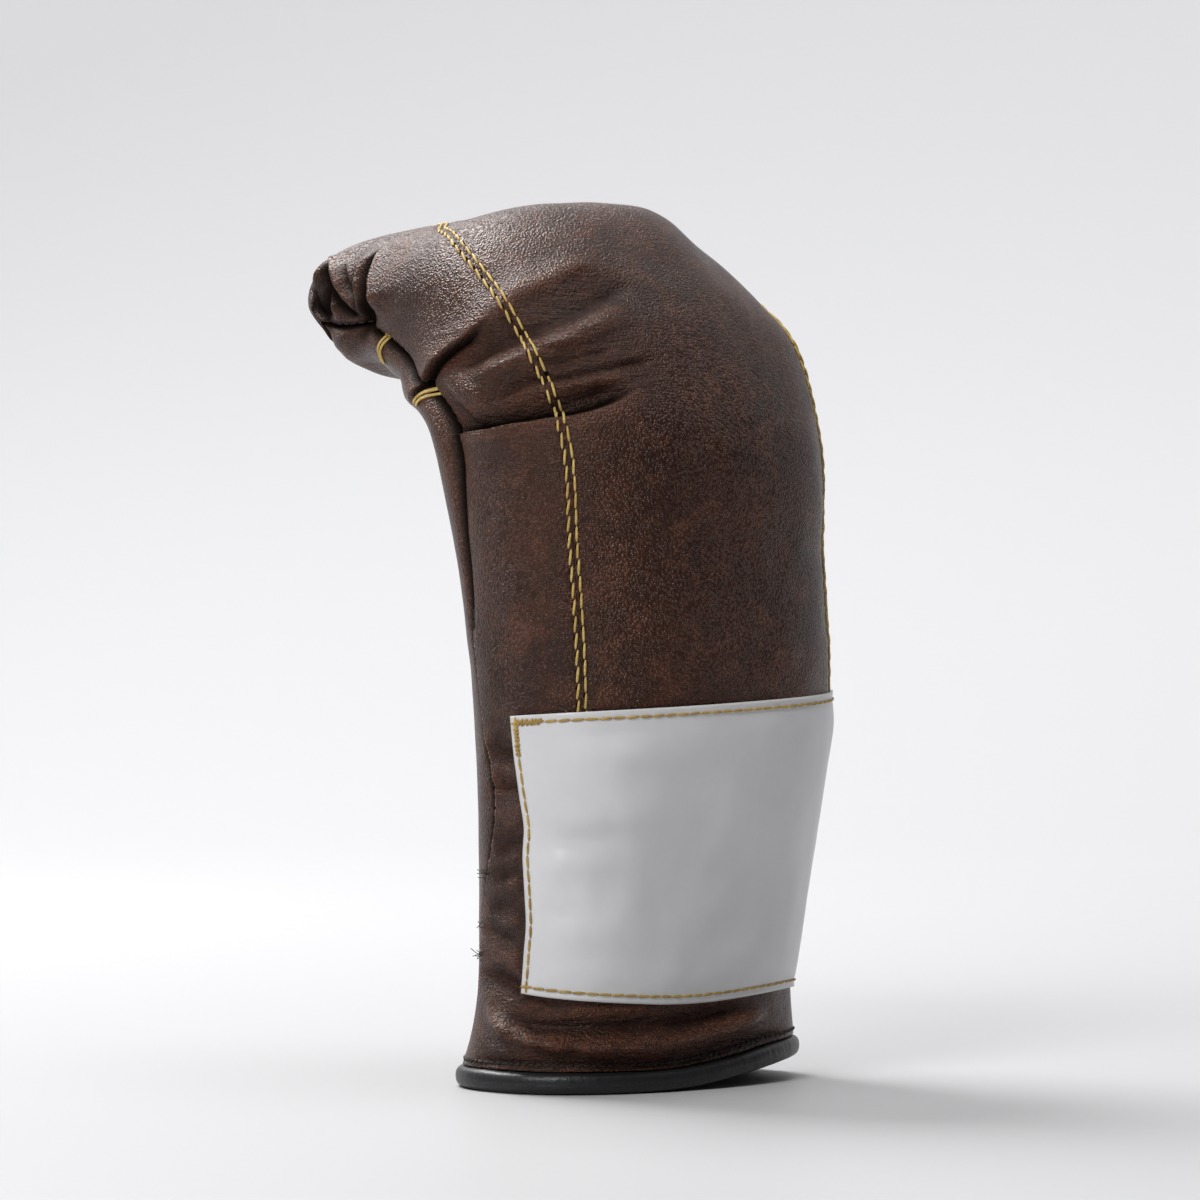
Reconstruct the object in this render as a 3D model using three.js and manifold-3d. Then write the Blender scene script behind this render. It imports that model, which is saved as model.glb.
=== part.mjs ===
// Bag glove for the left hand: a padded leather mitt that stands on its bound cuff rim
// with the fingers up and curled towards the palm.
// Millimetres, +Z up. +X is the back of the hand, -X the palm, -Y the little-finger
// side and +Y the thumb side. Every wall is a closed panel of its own, with a fine gap
// where the seams join them.

import * as THREE from "three";
import { mergeVertices } from "three/addons/utils/BufferGeometryUtils.js";
import Module from "manifold-3d";

const wasm = await Module();
wasm.setup();

// Driving sizes
const GLOVE_HEIGHT = 246;       // floor to the crest of the knuckles
const BEND_REACH = 140;         // fingertips to the back of the hand, along X
const KNUCKLE_WIDTH = 114;      // widest across the knuckles
const KNUCKLE_PAD = 20;         // thickest padding, under the back panel
const GUSSET_WALL = 3;          // lined leather of the side panels
const LEATHER = 2.4;            // palm and thumb leather
const SEAM_GAP = 0.3;           // clearance between neighbouring pieces
const WELT = 5.5;               // fullest roll of palm leather beside its seam
const FOLD_DEPTH = 4.5;         // deepest fold of the leather
const RIM_HEIGHT = 6;           // rim binding, from the floor up
const RIM_THICKNESS = 6.4;      // rim binding, through the wall
const RIM_LIFT = 6;             // how far the rim bows up off the floor behind the thumb
const LABEL_WIDTH = 127;        // label, round the wrist
const LABEL_HEIGHT = 84;
const LABEL_BOTTOM = 23;        // label's lower edge above the floor
const LABEL_THICKNESS = 0.8;
const LABEL_GAP = 0.7;          // between the label and the leather under it
const THUMB_RADIUS = 17;        // thumb stall, outside, at its root
const THUMB_RISE = 92;          // thumb stall, from its root up to its tip

// Mesh fineness
const STATIONS = 46;
const BACK_COLUMNS = 14;
const GUSSET_COLUMNS = 7;
const PALM_COLUMNS = 12;
const RIM_STEPS = 60;
const LABEL_COLUMNS = 22;
const LABEL_ROWS = 9;
const THUMB_SIDES = 18;
const THUMB_RINGS = 13;

// Names the columns of a short table, a row for each section or fold
function table(columns, rows) {
  return rows.map((row) => Object.fromEntries(columns.map((name, i) => [name, row[i]])));
}

// Sections along the glove, from the rim (at 0) over the knuckles to the fingertips (at 1).
// X is a share of BEND_REACH, Z of GLOVE_HEIGHT, near and far half widths of KNUCKLE_WIDTH,
// pad of KNUCKLE_PAD and welt of WELT. square rounds the section (2 is an ellipse), and the
// seams are angles from the middle of the back.
const SECTIONS = table(
  ["at", "backX", "backZ", "palmX", "palmZ", "near", "far", "square", "backSeam", "palmSeam", "pad", "welt"],
  [
    [0.0, 0.243, 0.0, -0.262, 0.0, 0.465, 0.447, 2.35, 54, 122, 0.25, 0.0],
    [0.08, 0.229, 0.085, -0.214, 0.085, 0.439, 0.439, 2.35, 54, 117, 0.35, 0.0],
    [0.2, 0.264, 0.232, -0.196, 0.232, 0.452, 0.452, 2.35, 54, 105, 0.45, 0.0],
    [0.27, 0.293, 0.317, -0.189, 0.317, 0.465, 0.465, 2.35, 54, 98, 0.5, 0.1],
    [0.35, 0.321, 0.415, -0.196, 0.415, 0.482, 0.482, 2.35, 54, 107, 0.6, 0.0],
    [0.5, 0.307, 0.598, -0.221, 0.589, 0.491, 0.491, 2.35, 54, 113, 0.8, 0.35],
    [0.627, 0.271, 0.764, -0.286, 0.736, 0.5, 0.503, 2.35, 54, 107, 1.0, 0.75],
    [0.716, 0.104, 0.915, -0.336, 0.76, 0.491, 0.488, 2.35, 57, 116, 1.0, 1.0],
    [0.782, -0.068, 1.002, -0.393, 0.772, 0.456, 0.434, 2.35, 59, 118, 0.95, 0.7],
    [0.862, -0.321, 0.996, -0.471, 0.805, 0.43, 0.395, 2.5, 40, 114, 0.8, 0.4],
    [0.957, -0.595, 0.97, -0.595, 0.813, 0.395, 0.375, 3.6, 32, 105, 0.5, 0.1],
    [1.0, -0.686, 0.947, -0.675, 0.846, 0.37, 0.355, 4.0, 30, 104, 0.35, 0.0],
  ],
);

// Folds and ridges. at and around place the middle, width is a share of the glove's
// length, reach an angle, slope the change of at for each degree, and depth a share of
// FOLD_DEPTH, less than nothing on a ridge.
const FOLDS = table(
  ["name", "at", "around", "width", "reach", "slope", "depth"],
  [
    ["knuckle crease", 0.616, -78, 0.013, 30, 0.0, 0.95],
    ["knuckle crease end", 0.632, -40, 0.013, 16, 0.0005, 0.7],
    ["knuckle lip", 0.594, -70, 0.014, 34, 0.0, -0.3],
    ["upper valley", 0.706, -66, 0.018, 36, 0.0002, 0.85],
    ["middle ridge", 0.68, -42, 0.013, 20, 0.0004, -0.35],
    ["middle valley", 0.66, -44, 0.011, 22, 0.0003, 0.6],
    ["finger crease", 0.874, -82, 0.012, 30, 0.001, 0.7],
    ["tip pleat", 0.915, -84, 0.011, 26, 0.001, 0.45],
    ["tip groove", 0.96, -82, 0.009, 26, 0.0002, 0.5],
    ["far knuckle crease", 0.624, 94, 0.014, 24, 0.0, 0.7],
    ["far valley", 0.7, 96, 0.018, 24, 0.0, 0.6],
    ["far finger crease", 0.86, 90, 0.014, 26, -0.0008, 0.6],
    ["wrist dent", 0.308, -91, 0.012, 14, 0.0, 0.45],
    ["wrist dent", 0.225, -88, 0.012, 14, 0.0, 0.45],
    ["wrist dent", 0.16, -92, 0.012, 16, 0.0, 0.45],
    ["cuff dent", 0.113, -92, 0.01, 16, -0.0008, 0.5],
    ["cuff ridge", 0.086, -50, 0.012, 46, -0.0004, -0.45],
    ["far wrist dent", 0.24, 92, 0.014, 16, 0.0, 0.45],
    ["far wrist dent", 0.14, 90, 0.014, 18, 0.0, 0.4],
    ["palm crease", 0.64, 180, 0.02, 34, 0.0, 0.5],
    ["palm crease", 0.83, 180, 0.02, 34, 0.0, 0.35],
  ],
);

// Path of the thumb stall, from inside the palm to its tip. out, across and up are
// shares of THUMB_RISE from the root, and round is the share of THUMB_RADIUS.
const THUMB_PATH = table(
  ["at", "out", "across", "up", "round"],
  [
    [0.0, 0.0, 0.0, 0.0, 1.0],
    [0.3, -0.24, 0.08, 0.2, 1.0],
    [0.6, -0.42, 0.14, 0.5, 1.0],
    [0.85, -0.48, 0.17, 0.8, 0.95],
    [1.0, -0.48, 0.18, 1.0, 0.9],
  ],
);
const THUMB_TIP = 0.14;         // share of the stall's length that rounds off
const THUMB_ROOT = { x: -0.03, y: 0.24, z: 0.31 };   // shares of reach, width and height

// Where the fingertip starts to round off, and where the hollow ends
const TIP_ROUND_FROM = 0.962;
const HOLLOW_ROUND_FROM = 0.92;
const HOLLOW_END = 0.972;
const TIP_LAST = 0.12;          // share of the tip's depth left at its last section
const TIP_SIDE = 0.93;          // share of the tip's width left there

const RADIANS = Math.PI / 180;

function smooth(share) {
  const t = Math.min(Math.max(share, 0), 1);
  return t * t * (3 - 2 * t);
}

// Slope of a column at a row, from the parabola through the row and its neighbours
function columnSlope(rows, name, i) {
  const last = rows.length - 1;
  if (i === 0 || i === last) {
    const j = Math.max(i, 1);
    return (rows[j][name] - rows[j - 1][name]) / (rows[j].at - rows[j - 1].at);
  }
  const before = rows[i].at - rows[i - 1].at;
  const after = rows[i + 1].at - rows[i].at;
  const rise = before ** 2 * rows[i + 1][name] - after ** 2 * rows[i - 1][name];
  const middle = (after ** 2 - before ** 2) * rows[i][name];
  return (rise + middle) / (before * after * (before + after));
}

// Value of a column between the rows, on a smooth curve through them
function column(rows, name, at) {
  const x = Math.min(Math.max(at, rows[0].at), rows[rows.length - 1].at);
  const i = Math.max(rows.findIndex((row) => row.at >= x) - 1, 0);
  const step = rows[i + 1].at - rows[i].at;
  const t = (x - rows[i].at) / step;
  const startSlope = columnSlope(rows, name, i) * step;
  const endSlope = columnSlope(rows, name, i + 1) * step;
  return (
    (2 * t ** 3 - 3 * t ** 2 + 1) * rows[i][name] +
    (t ** 3 - 2 * t ** 2 + t) * startSlope +
    (3 * t ** 2 - 2 * t ** 3) * rows[i + 1][name] +
    (t ** 3 - t ** 2) * endSlope
  );
}

// One section in millimetres: its middle, the way from palm to back, and its half sizes
function section(at) {
  const value = (name) => column(SECTIONS, name, at);
  const back = new THREE.Vector3(value("backX") * BEND_REACH, 0, value("backZ") * GLOVE_HEIGHT);
  const palm = new THREE.Vector3(value("palmX") * BEND_REACH, 0, value("palmZ") * GLOVE_HEIGHT);
  const axis = back.clone().sub(palm);
  return {
    middle: back.clone().add(palm).multiplyScalar(0.5),
    depth: axis.length() / 2,
    axis: axis.normalize(),
    near: value("near") * KNUCKLE_WIDTH,
    far: value("far") * KNUCKLE_WIDTH,
    square: value("square"),
    pad: value("pad") * KNUCKLE_PAD,
    welt: value("welt") * WELT,
  };
}

// Point on the rounded section at an angle from the back, and its outward direction
function ring(angle, square) {
  const c = Math.cos(angle * RADIANS);
  const q = Math.sin(angle * RADIANS);
  const size = (Math.abs(c) ** square + Math.abs(q) ** square) ** (-1 / square);
  return { c: c * size, q: q * size };
}

function outward(point, depth, half, square) {
  const c = (Math.sign(point.c) * Math.abs(point.c) ** (square - 1)) / depth;
  const q = (Math.sign(point.q) * Math.abs(point.q) ** (square - 1)) / half;
  const size = Math.hypot(c, q);
  return { c: c / size, q: q / size };
}

// Angle between two directions round the glove, from -180 to 180
function turn(angle, from) {
  return ((((angle - from) % 360) + 540) % 360) - 180;
}

// Height of the leather over its plain section: folds, ridges and the palm's welt
function relief(at, angle) {
  let height = 0;
  for (const fold of FOLDS) {
    const away = turn(angle, fold.around);
    const along = (at - fold.at - fold.slope * away) / fold.width;
    height -= FOLD_DEPTH * fold.depth * Math.exp(-(along ** 2) - (away / fold.reach) ** 2);
  }
  return height;
}

function weltHeight(at, angle, welt) {
  const pastSeam = Math.abs(turn(angle, 0)) - column(SECTIONS, "palmSeam", at);
  const rollWidth = 26;
  const share = pastSeam / rollWidth;
  return share > 0 && share < 1 ? welt * Math.sin(Math.PI * share) ** 0.7 : 0;
}

// The rim bows up off the floor behind the thumb, and the leather above it follows
function rimLift(at, angle) {
  const liftMiddle = 50;
  const liftReach = 75;
  const liftFade = 0.2;
  const away = Math.abs(turn(angle, liftMiddle)) / liftReach;
  const bow = away < 1 ? Math.cos((away * Math.PI) / 2) ** 2 : 0;
  return RIM_LIFT * bow * (1 - smooth((at - RIM_AT) / (liftFade - RIM_AT)));
}

// Share along the glove at a height on the wrist, where the sections lie level
function atHeight(height) {
  let low = 0;
  let high = 0.5;
  for (let i = 0; i < 40; i++) {
    const middle = (low + high) / 2;
    if (column(SECTIONS, "backZ", middle) * GLOVE_HEIGHT < height) low = middle;
    else high = middle;
  }
  return low;
}
const RIM_AT = atHeight(RIM_HEIGHT + SEAM_GAP);

function roundOff(at, from, to) {
  const share = Math.min(Math.max((at - from) / (to - from), 0), 1);
  return Math.sqrt(1 - share ** 2);
}

function place(cut, depth, side, lift) {
  return new THREE.Vector3(
    cut.middle.x + cut.axis.x * depth,
    side,
    cut.middle.z + cut.axis.z * depth + lift,
  );
}

// Outer surface of the glove, raised by offset. What lies over the leather bridges its
// folds, so it takes the height of the ridges alone.
function skin(at, angle, offset = 0, height = relief(at, angle)) {
  const cut = section(at);
  const end = Math.max(roundOff(at, TIP_ROUND_FROM, 1), TIP_LAST);
  const sideEnd = TIP_SIDE + (1 - TIP_SIDE) * end;
  const point = ring(angle, cut.square);
  const half = (point.q < 0 ? cut.near : cut.far) * sideEnd;
  const normal = outward(point, cut.depth, half, cut.square);
  const raised = offset + (height + weltHeight(at, angle, cut.welt)) * end;
  const depth = cut.depth * end * point.c + raised * normal.c;
  return place(cut, depth, half * point.q + raised * normal.q, rimLift(at, angle));
}

// Inner surface: padding behind the back panel, leather elsewhere, closed at the fingertips
function lining(at, angle) {
  const cut = section(at);
  const end = roundOff(at, HOLLOW_ROUND_FROM, HOLLOW_END);
  const sideEnd = TIP_SIDE + (1 - TIP_SIDE) * Math.max(roundOff(at, TIP_ROUND_FROM, 1), TIP_LAST);
  const point = ring(angle, cut.square);
  const wall = point.c > 0 ? cut.pad : LEATHER;
  const half = (point.q < 0 ? cut.near : cut.far) * sideEnd - GUSSET_WALL;
  const depth = Math.max((cut.depth - wall) * end, SEAM_GAP / 2);
  const normal = outward(point, cut.depth, half, cut.square);
  const thinFrom = 42;
  const thinTo = 62;
  const follows = smooth((Math.abs(turn(angle, 0)) - thinFrom) / (thinTo - thinFrom));
  const raised = (relief(at, angle) + weltHeight(at, angle, cut.welt)) * follows * end;
  return place(cut, depth * point.c + raised * normal.c, half * point.q + raised * normal.q,
    rimLift(at, angle));
}

// Shares along the glove, closer together where it bends and at the fingertips
function stationList(count, from) {
  const fine = 800;
  const weight = (at) =>
    1 + 1.7 * Math.exp(-(((at - 0.67) / 0.07) ** 2)) + 1.6 * Math.exp(-(((at - 0.95) / 0.05) ** 2));
  const sums = [0];
  for (let i = 0; i < fine; i++) {
    sums.push(sums[i] + weight(from + ((1 - from) * (i + 0.5)) / fine));
  }
  const list = [];
  for (let i = 0; i < count; i++) {
    const target = (sums[fine] * i) / (count - 1);
    const j = Math.max(sums.findIndex((sum) => sum >= target), 1);
    const part = (target - sums[j - 1]) / (sums[j] - sums[j - 1]);
    list.push(from + ((1 - from) * (j - 1 + part)) / fine);
  }
  return list;
}
const stations = stationList(STATIONS, RIM_AT);

// Angle that moves a point on a surface by half a seam gap
function gapAngle(surface, at, angle) {
  const step = 0.5;
  const run = surface(at, angle + step).distanceTo(surface(at, angle - step));
  return Math.min((SEAM_GAP / 2 / run) * 2 * step, 4);
}

// Angles of a panel's columns on one surface, between its two seams
function panelAngles(surface, at, from, to, count) {
  const start = from + gapAngle(surface, at, from);
  const end = to - gapAngle(surface, at, to);
  return Array.from({ length: count }, (_, j) => start + ((end - start) * j) / (count - 1));
}

// Closed body between two grids of points with as many rows and columns
function closedShell(outer, inner) {
  const rows = outer.length;
  const columns = outer[0].length;
  const points = [...outer.flat(), ...inner.flat()];
  const faces = [];
  const out = (i, j) => i * columns + j;
  const into = (i, j) => rows * columns + i * columns + j;
  const quad = (a, b, c, d) => faces.push(a, b, c, a, c, d);
  for (let i = 0; i < rows - 1; i++) {
    for (let j = 0; j < columns - 1; j++) {
      quad(out(i, j), out(i, j + 1), out(i + 1, j + 1), out(i + 1, j));
      quad(into(i, j), into(i + 1, j), into(i + 1, j + 1), into(i, j + 1));
    }
    quad(out(i, 0), out(i + 1, 0), into(i + 1, 0), into(i, 0));
    quad(out(i, columns - 1), into(i, columns - 1), into(i + 1, columns - 1), out(i + 1, columns - 1));
  }
  for (let j = 0; j < columns - 1; j++) {
    quad(out(0, j), into(0, j), into(0, j + 1), out(0, j + 1));
    quad(out(rows - 1, j), out(rows - 1, j + 1), into(rows - 1, j + 1), into(rows - 1, j));
  }
  return body(points, faces);
}

// Indexed geometry with its faces pointing out
function body(points, faces) {
  let volume = 0;
  for (let i = 0; i < faces.length; i += 3) {
    const [a, b, c] = [points[faces[i]], points[faces[i + 1]], points[faces[i + 2]]];
    volume += a.dot(b.clone().cross(c));
  }
  const index = volume > 0 ? faces : faces.toReversed();
  const geometry = new THREE.BufferGeometry();
  const numbers = points.flatMap((point) => [point.x, point.y, point.z]);
  geometry.setAttribute("position", new THREE.Float32BufferAttribute(numbers, 3));
  geometry.setIndex(index);
  return geometry;
}

// Tube of closed loops with flat ends
function closedTube(loops) {
  const sides = loops[0].length;
  const points = loops.flat();
  const faces = [];
  for (let i = 0; i < loops.length - 1; i++) {
    for (let j = 0; j < sides; j++) {
      const next = (j + 1) % sides;
      const [a, b] = [i * sides + j, i * sides + next];
      faces.push(a, b, b + sides, a, b + sides, a + sides);
    }
  }
  const middle = (loop) => loop.reduce((sum, p) => sum.add(p), new THREE.Vector3()).divideScalar(sides);
  const first = points.push(middle(loops[0])) - 1;
  const last = points.push(middle(loops[loops.length - 1])) - 1;
  const lastLoop = (loops.length - 1) * sides;
  for (let j = 0; j < sides; j++) {
    const next = (j + 1) % sides;
    faces.push(first, next, j);
    faces.push(last, lastLoop + j, lastLoop + next);
  }
  return body(points, faces);
}

function solid(geometry) {
  const merged = mergeVertices(geometry);
  const mesh = new wasm.Mesh({
    numProp: 3,
    vertProperties: new Float32Array(merged.attributes.position.array),
    triVerts: new Uint32Array(merged.index.array),
  });
  return new wasm.Manifold(mesh);
}

function geometryOf(manifold) {
  const mesh = manifold.getMesh();
  const geometry = new THREE.BufferGeometry();
  geometry.setAttribute("position", new THREE.BufferAttribute(mesh.vertProperties, 3));
  geometry.setIndex(new THREE.BufferAttribute(mesh.triVerts, 1));
  return geometry;
}

const backSeam = (at) => column(SECTIONS, "backSeam", at);
const palmSeam = (at) => column(SECTIONS, "palmSeam", at);
const PANELS = {
  back_panel: { from: (at) => -backSeam(at), to: backSeam, columns: BACK_COLUMNS },
  far_gusset: { from: backSeam, to: palmSeam, columns: GUSSET_COLUMNS },
  palm_panel: { from: palmSeam, to: (at) => 360 - palmSeam(at), columns: PALM_COLUMNS },
  near_gusset: { from: (at) => -palmSeam(at), to: (at) => -backSeam(at), columns: GUSSET_COLUMNS },
};

function panelGrid(surface, panel) {
  return stations.map((at) =>
    panelAngles(surface, at, panel.from(at), panel.to(at), panel.columns).map((angle) =>
      surface(at, angle),
    ),
  );
}

function panelGeometry(name) {
  return closedShell(panelGrid(skin, PANELS[name]), panelGrid(lining, PANELS[name]));
}

// Whole glove as one solid, a seam gap proud of the leather, to fit the thumb against
function envelope() {
  const proud = (at, angle) => skin(at, angle, SEAM_GAP);
  const loops = stations.map((at) =>
    Object.values(PANELS).flatMap((panel) =>
      panelAngles(skin, at, panel.from(at), panel.to(at), panel.columns).map((angle) =>
        proud(at, angle),
      ),
    ),
  );
  return solid(closedTube(loops));
}

// Band folded over the lower edge: a ring with an eight-sided section, flat underneath
function rimBinding() {
  const cut = section(RIM_AT);
  const half = RIM_THICKNESS / 2;
  const corner = RIM_HEIGHT * 0.27;
  const profile = [
    [half - corner, 0], [half, corner], [half, RIM_HEIGHT - corner], [half - corner, RIM_HEIGHT],
    [corner - half, RIM_HEIGHT], [-half, RIM_HEIGHT - corner], [-half, corner], [corner - half, 0],
  ];
  const loops = Array.from({ length: RIM_STEPS }, (_, i) => {
    const angle = (360 * i) / RIM_STEPS;
    const point = ring(angle, cut.square);
    const side = point.q < 0 ? cut.near : cut.far;
    const normal = outward(point, cut.depth, side, cut.square);
    return profile.map(([out, up]) => {
      const raised = out - LEATHER / 2;
      return new THREE.Vector3(
        cut.middle.x + cut.depth * point.c + raised * normal.c,
        side * point.q + raised * normal.q,
        up + rimLift(RIM_AT, angle),
      );
    });
  });
  const points = loops.flat();
  const faces = [];
  const sides = profile.length;
  for (let i = 0; i < RIM_STEPS; i++) {
    for (let j = 0; j < sides; j++) {
      const [a, b] = [i * sides + j, i * sides + ((j + 1) % sides)];
      const ahead = ((i + 1) % RIM_STEPS) * sides;
      const [c, d] = [ahead + ((j + 1) % sides), ahead + j];
      faces.push(a, b, c, a, c, d);
    }
  }
  return body(points, faces);
}

// Angle on the skin at a distance round the wrist from the middle of the back
function angleAlong(at, distance) {
  const step = 1;
  let angle = 0;
  let run = 0;
  while (run < Math.abs(distance) && angle < 170) {
    run += skin(at, angle).distanceTo(skin(at, angle + step));
    angle += step;
  }
  return Math.sign(distance) * angle;
}

// Thin patch over the back of the wrist and both of its seams
function labelPatch() {
  const halfAngle = angleAlong(atHeight(LABEL_BOTTOM + LABEL_HEIGHT / 2), LABEL_WIDTH / 2);
  const grid = (offset) =>
    Array.from({ length: LABEL_ROWS }, (_, i) => {
      const up = i / (LABEL_ROWS - 1);
      return Array.from({ length: LABEL_COLUMNS }, (_, j) => {
        const across = (2 * j) / (LABEL_COLUMNS - 1) - 1;
        const taper = 0.93 + 0.09 * up;
        const slant = 0.045 * LABEL_HEIGHT * across * up;
        const bow = 0.04 * LABEL_HEIGHT * across ** 2 * (1 - up);
        const at = atHeight(LABEL_BOTTOM + LABEL_HEIGHT * up + slant + bow);
        const angle = across * halfAngle * taper;
        return skin(at, angle, offset, Math.max(relief(at, angle), 0));
      });
    });
  return closedShell(grid(LABEL_GAP + LABEL_THICKNESS), grid(LABEL_GAP));
}

// Loops of the thumb stall's tube, drawn in by a wall and closed to a round tip
function thumbLoops(wall, startAt) {
  const spot = (at) => {
    const value = (name) => column(THUMB_PATH, name, at);
    return new THREE.Vector3(
      THUMB_ROOT.x * BEND_REACH + value("out") * THUMB_RISE,
      THUMB_ROOT.y * KNUCKLE_WIDTH + value("across") * THUMB_RISE,
      THUMB_ROOT.z * GLOVE_HEIGHT + value("up") * THUMB_RISE,
    );
  };
  const last = 1 - wall / THUMB_RISE;
  const nudge = 0.01;
  return Array.from({ length: THUMB_RINGS }, (_, i) => {
    const at = startAt + (last - startAt) * Math.sin((Math.PI / 2) * (i / (THUMB_RINGS - 1)));
    const middle = spot(at);
    const ahead = spot(Math.min(at + nudge, 1)).sub(spot(Math.min(at + nudge, 1) - 2 * nudge)).normalize();
    const side = new THREE.Vector3(0, 1, 0).cross(ahead).normalize();
    const across = ahead.clone().cross(side);
    const tipRound = Math.max(roundOff(at, last - THUMB_TIP, last), 0.2);
    const radius = (column(THUMB_PATH, "round", at) * THUMB_RADIUS - wall) * tipRound;
    return Array.from({ length: THUMB_SIDES }, (_, j) => {
      const angle = (2 * Math.PI * j) / THUMB_SIDES;
      return middle
        .clone()
        .addScaledVector(side, radius * Math.cos(angle))
        .addScaledVector(across, radius * Math.sin(angle));
    });
  });
}

const thumbHollow = solid(closedTube(thumbLoops(LEATHER, 0)));

function thumbStall() {
  const outer = solid(closedTube(thumbLoops(0, 0)));
  return geometryOf(outer.subtract(thumbHollow).subtract(envelope()));
}

function palmPanel() {
  return geometryOf(solid(panelGeometry("palm_panel")).subtract(thumbHollow));
}

function farGusset() {
  return geometryOf(solid(panelGeometry("far_gusset")).subtract(thumbHollow));
}

const leather = new THREE.MeshStandardMaterial({ color: 0x54362c, roughness: 0.5, metalness: 0 });
const palmLeather = new THREE.MeshStandardMaterial({ color: 0x5e4034, roughness: 0.55, metalness: 0 });
const vinyl = new THREE.MeshStandardMaterial({ color: 0xe6e6e8, roughness: 0.35, metalness: 0 });
const bindingTape = new THREE.MeshStandardMaterial({ color: 0x17191d, roughness: 0.45, metalness: 0 });

const glove = new THREE.Group();
function add(name, geometry, material) {
  const mesh = new THREE.Mesh(geometry, material);
  mesh.name = name;
  glove.add(mesh);
}
add("back_panel", panelGeometry("back_panel"), leather);
add("near_gusset", panelGeometry("near_gusset"), leather);
add("far_gusset", farGusset(), leather);
add("palm_panel", palmPanel(), palmLeather);
add("thumb_stall", thumbStall(), palmLeather);
add("label_patch", labelPatch(), vinyl);
add("rim_binding", rimBinding(), bindingTape);

// The origin is under the middle of the glove, on the floor
const box = new THREE.Box3().setFromObject(glove, true);
const middle = box.getCenter(new THREE.Vector3());
for (const mesh of glove.children) {
  mesh.geometry.translate(-middle.x, -middle.y, -box.min.z);
}

export default glove;
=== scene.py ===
# Bag glove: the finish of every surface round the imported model. Lengths are millimetres
# until a mesh is made, which is in metres. +Z is up, +X the back of the hand, -X the palm,
# -Y the little-finger side and +Y the thumb side.

import math

import bmesh
import bpy
import numpy as np
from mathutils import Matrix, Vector
from mathutils.bvhtree import BVHTree


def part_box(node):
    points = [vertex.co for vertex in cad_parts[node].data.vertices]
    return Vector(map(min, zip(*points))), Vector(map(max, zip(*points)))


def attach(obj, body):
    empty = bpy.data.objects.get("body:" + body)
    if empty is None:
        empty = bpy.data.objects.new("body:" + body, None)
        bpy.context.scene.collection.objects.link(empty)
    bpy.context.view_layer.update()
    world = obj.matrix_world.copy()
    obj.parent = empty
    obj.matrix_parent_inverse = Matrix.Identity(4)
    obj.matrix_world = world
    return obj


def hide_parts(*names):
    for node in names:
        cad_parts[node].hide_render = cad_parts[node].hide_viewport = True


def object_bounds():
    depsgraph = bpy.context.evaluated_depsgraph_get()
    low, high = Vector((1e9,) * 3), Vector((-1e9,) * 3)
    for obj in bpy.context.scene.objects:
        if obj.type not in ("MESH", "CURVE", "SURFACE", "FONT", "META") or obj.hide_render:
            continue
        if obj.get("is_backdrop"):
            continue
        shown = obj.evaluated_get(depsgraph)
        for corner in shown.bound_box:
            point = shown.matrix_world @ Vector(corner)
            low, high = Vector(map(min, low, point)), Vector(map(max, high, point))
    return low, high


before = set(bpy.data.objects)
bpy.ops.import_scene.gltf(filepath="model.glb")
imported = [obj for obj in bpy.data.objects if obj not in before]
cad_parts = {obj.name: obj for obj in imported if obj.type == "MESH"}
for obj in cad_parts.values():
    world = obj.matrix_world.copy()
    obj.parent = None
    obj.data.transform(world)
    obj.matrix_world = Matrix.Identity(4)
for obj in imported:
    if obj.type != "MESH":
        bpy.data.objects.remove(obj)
cad_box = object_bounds()

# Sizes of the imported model
GLOVE_HEIGHT = 246
BEND_REACH = 140
KNUCKLE_WIDTH = 114
KNUCKLE_PAD = 20
GUSSET_WALL = 3
LEATHER = 2.4
WELT = 5.5
WELT_ROLL = 26                  # degrees of the glove's section under the welt
RIM_HEIGHT = 6
RIM_THICKNESS = 6.4
RIM_LIFT = 6
LABEL_WIDTH = 127
LABEL_HEIGHT = 84
LABEL_BOTTOM = 23
THUMB_RADIUS = 17
THUMB_RISE = 92
TIP_ROUND_FROM = 0.962
TIP_LAST = 0.12
TIP_SIDE = 0.93
PALM_SHORT = 5.5                # the palm side of the fingertips ends before the back side
PALM_SHORT_FROM = 0.9
PALM_SHORT_FULL = 0.98
HOLLOW_ROUND_FROM = 0.92
HOLLOW_END = 0.972
THUMB_TIP = 0.14
THUMB_ROOT = (-0.03 * BEND_REACH, 0.24 * KNUCKLE_WIDTH, 0.31 * GLOVE_HEIGHT)

# Sizes that only show here
PANEL_GAP = 0.06                # between neighbouring panels, which are sewn tight
STITCH_PITCH = 4.5
STITCH_LENGTH = 4.5
ROW_OFFSET = 1.05               # each stitch row, from the line between two panels
ROW_STAGGER = 0.45              # the second row lies this share of a stitch further on
SEAM_RUN = 330                  # length of a seam of the back
HOLE_RADIUS = 1.0               # painted shade round a needle hole, and its bump dent, both strongest at its middle
HOLE_MIDDLE = 0.35
HOLE_SLIMNESS = 1.3
THREAD = 0.68                   # thickness of the waxed thread
LABEL_THREAD = 0.68
TACK_RADIUS = 0.3               # thread of the bar tacks
FRAYED_RADIUS = 0.11
LABEL_INSET = 2.2               # label stitching, from the label's edge
LABEL_THICKNESS = 0.7
LABEL_SEAT = 0.35               # label above the leather
LABEL_FLARE = 3.6               # its far end is this much taller at the top and at the bottom
LABEL_BOW = 0.9                 # its lower corners lie this much above the middle

# Fineness of the meshes
STATIONS = 641
LINING_STEP = 4                 # the lining takes every fourth point of the skin's grid
FIELD_STEP = 0.5                # degrees between the columns of the surface fields
BACK_COLUMNS = 141
GUSSET_COLUMNS = 121
PALM_COLUMNS = 97


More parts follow.
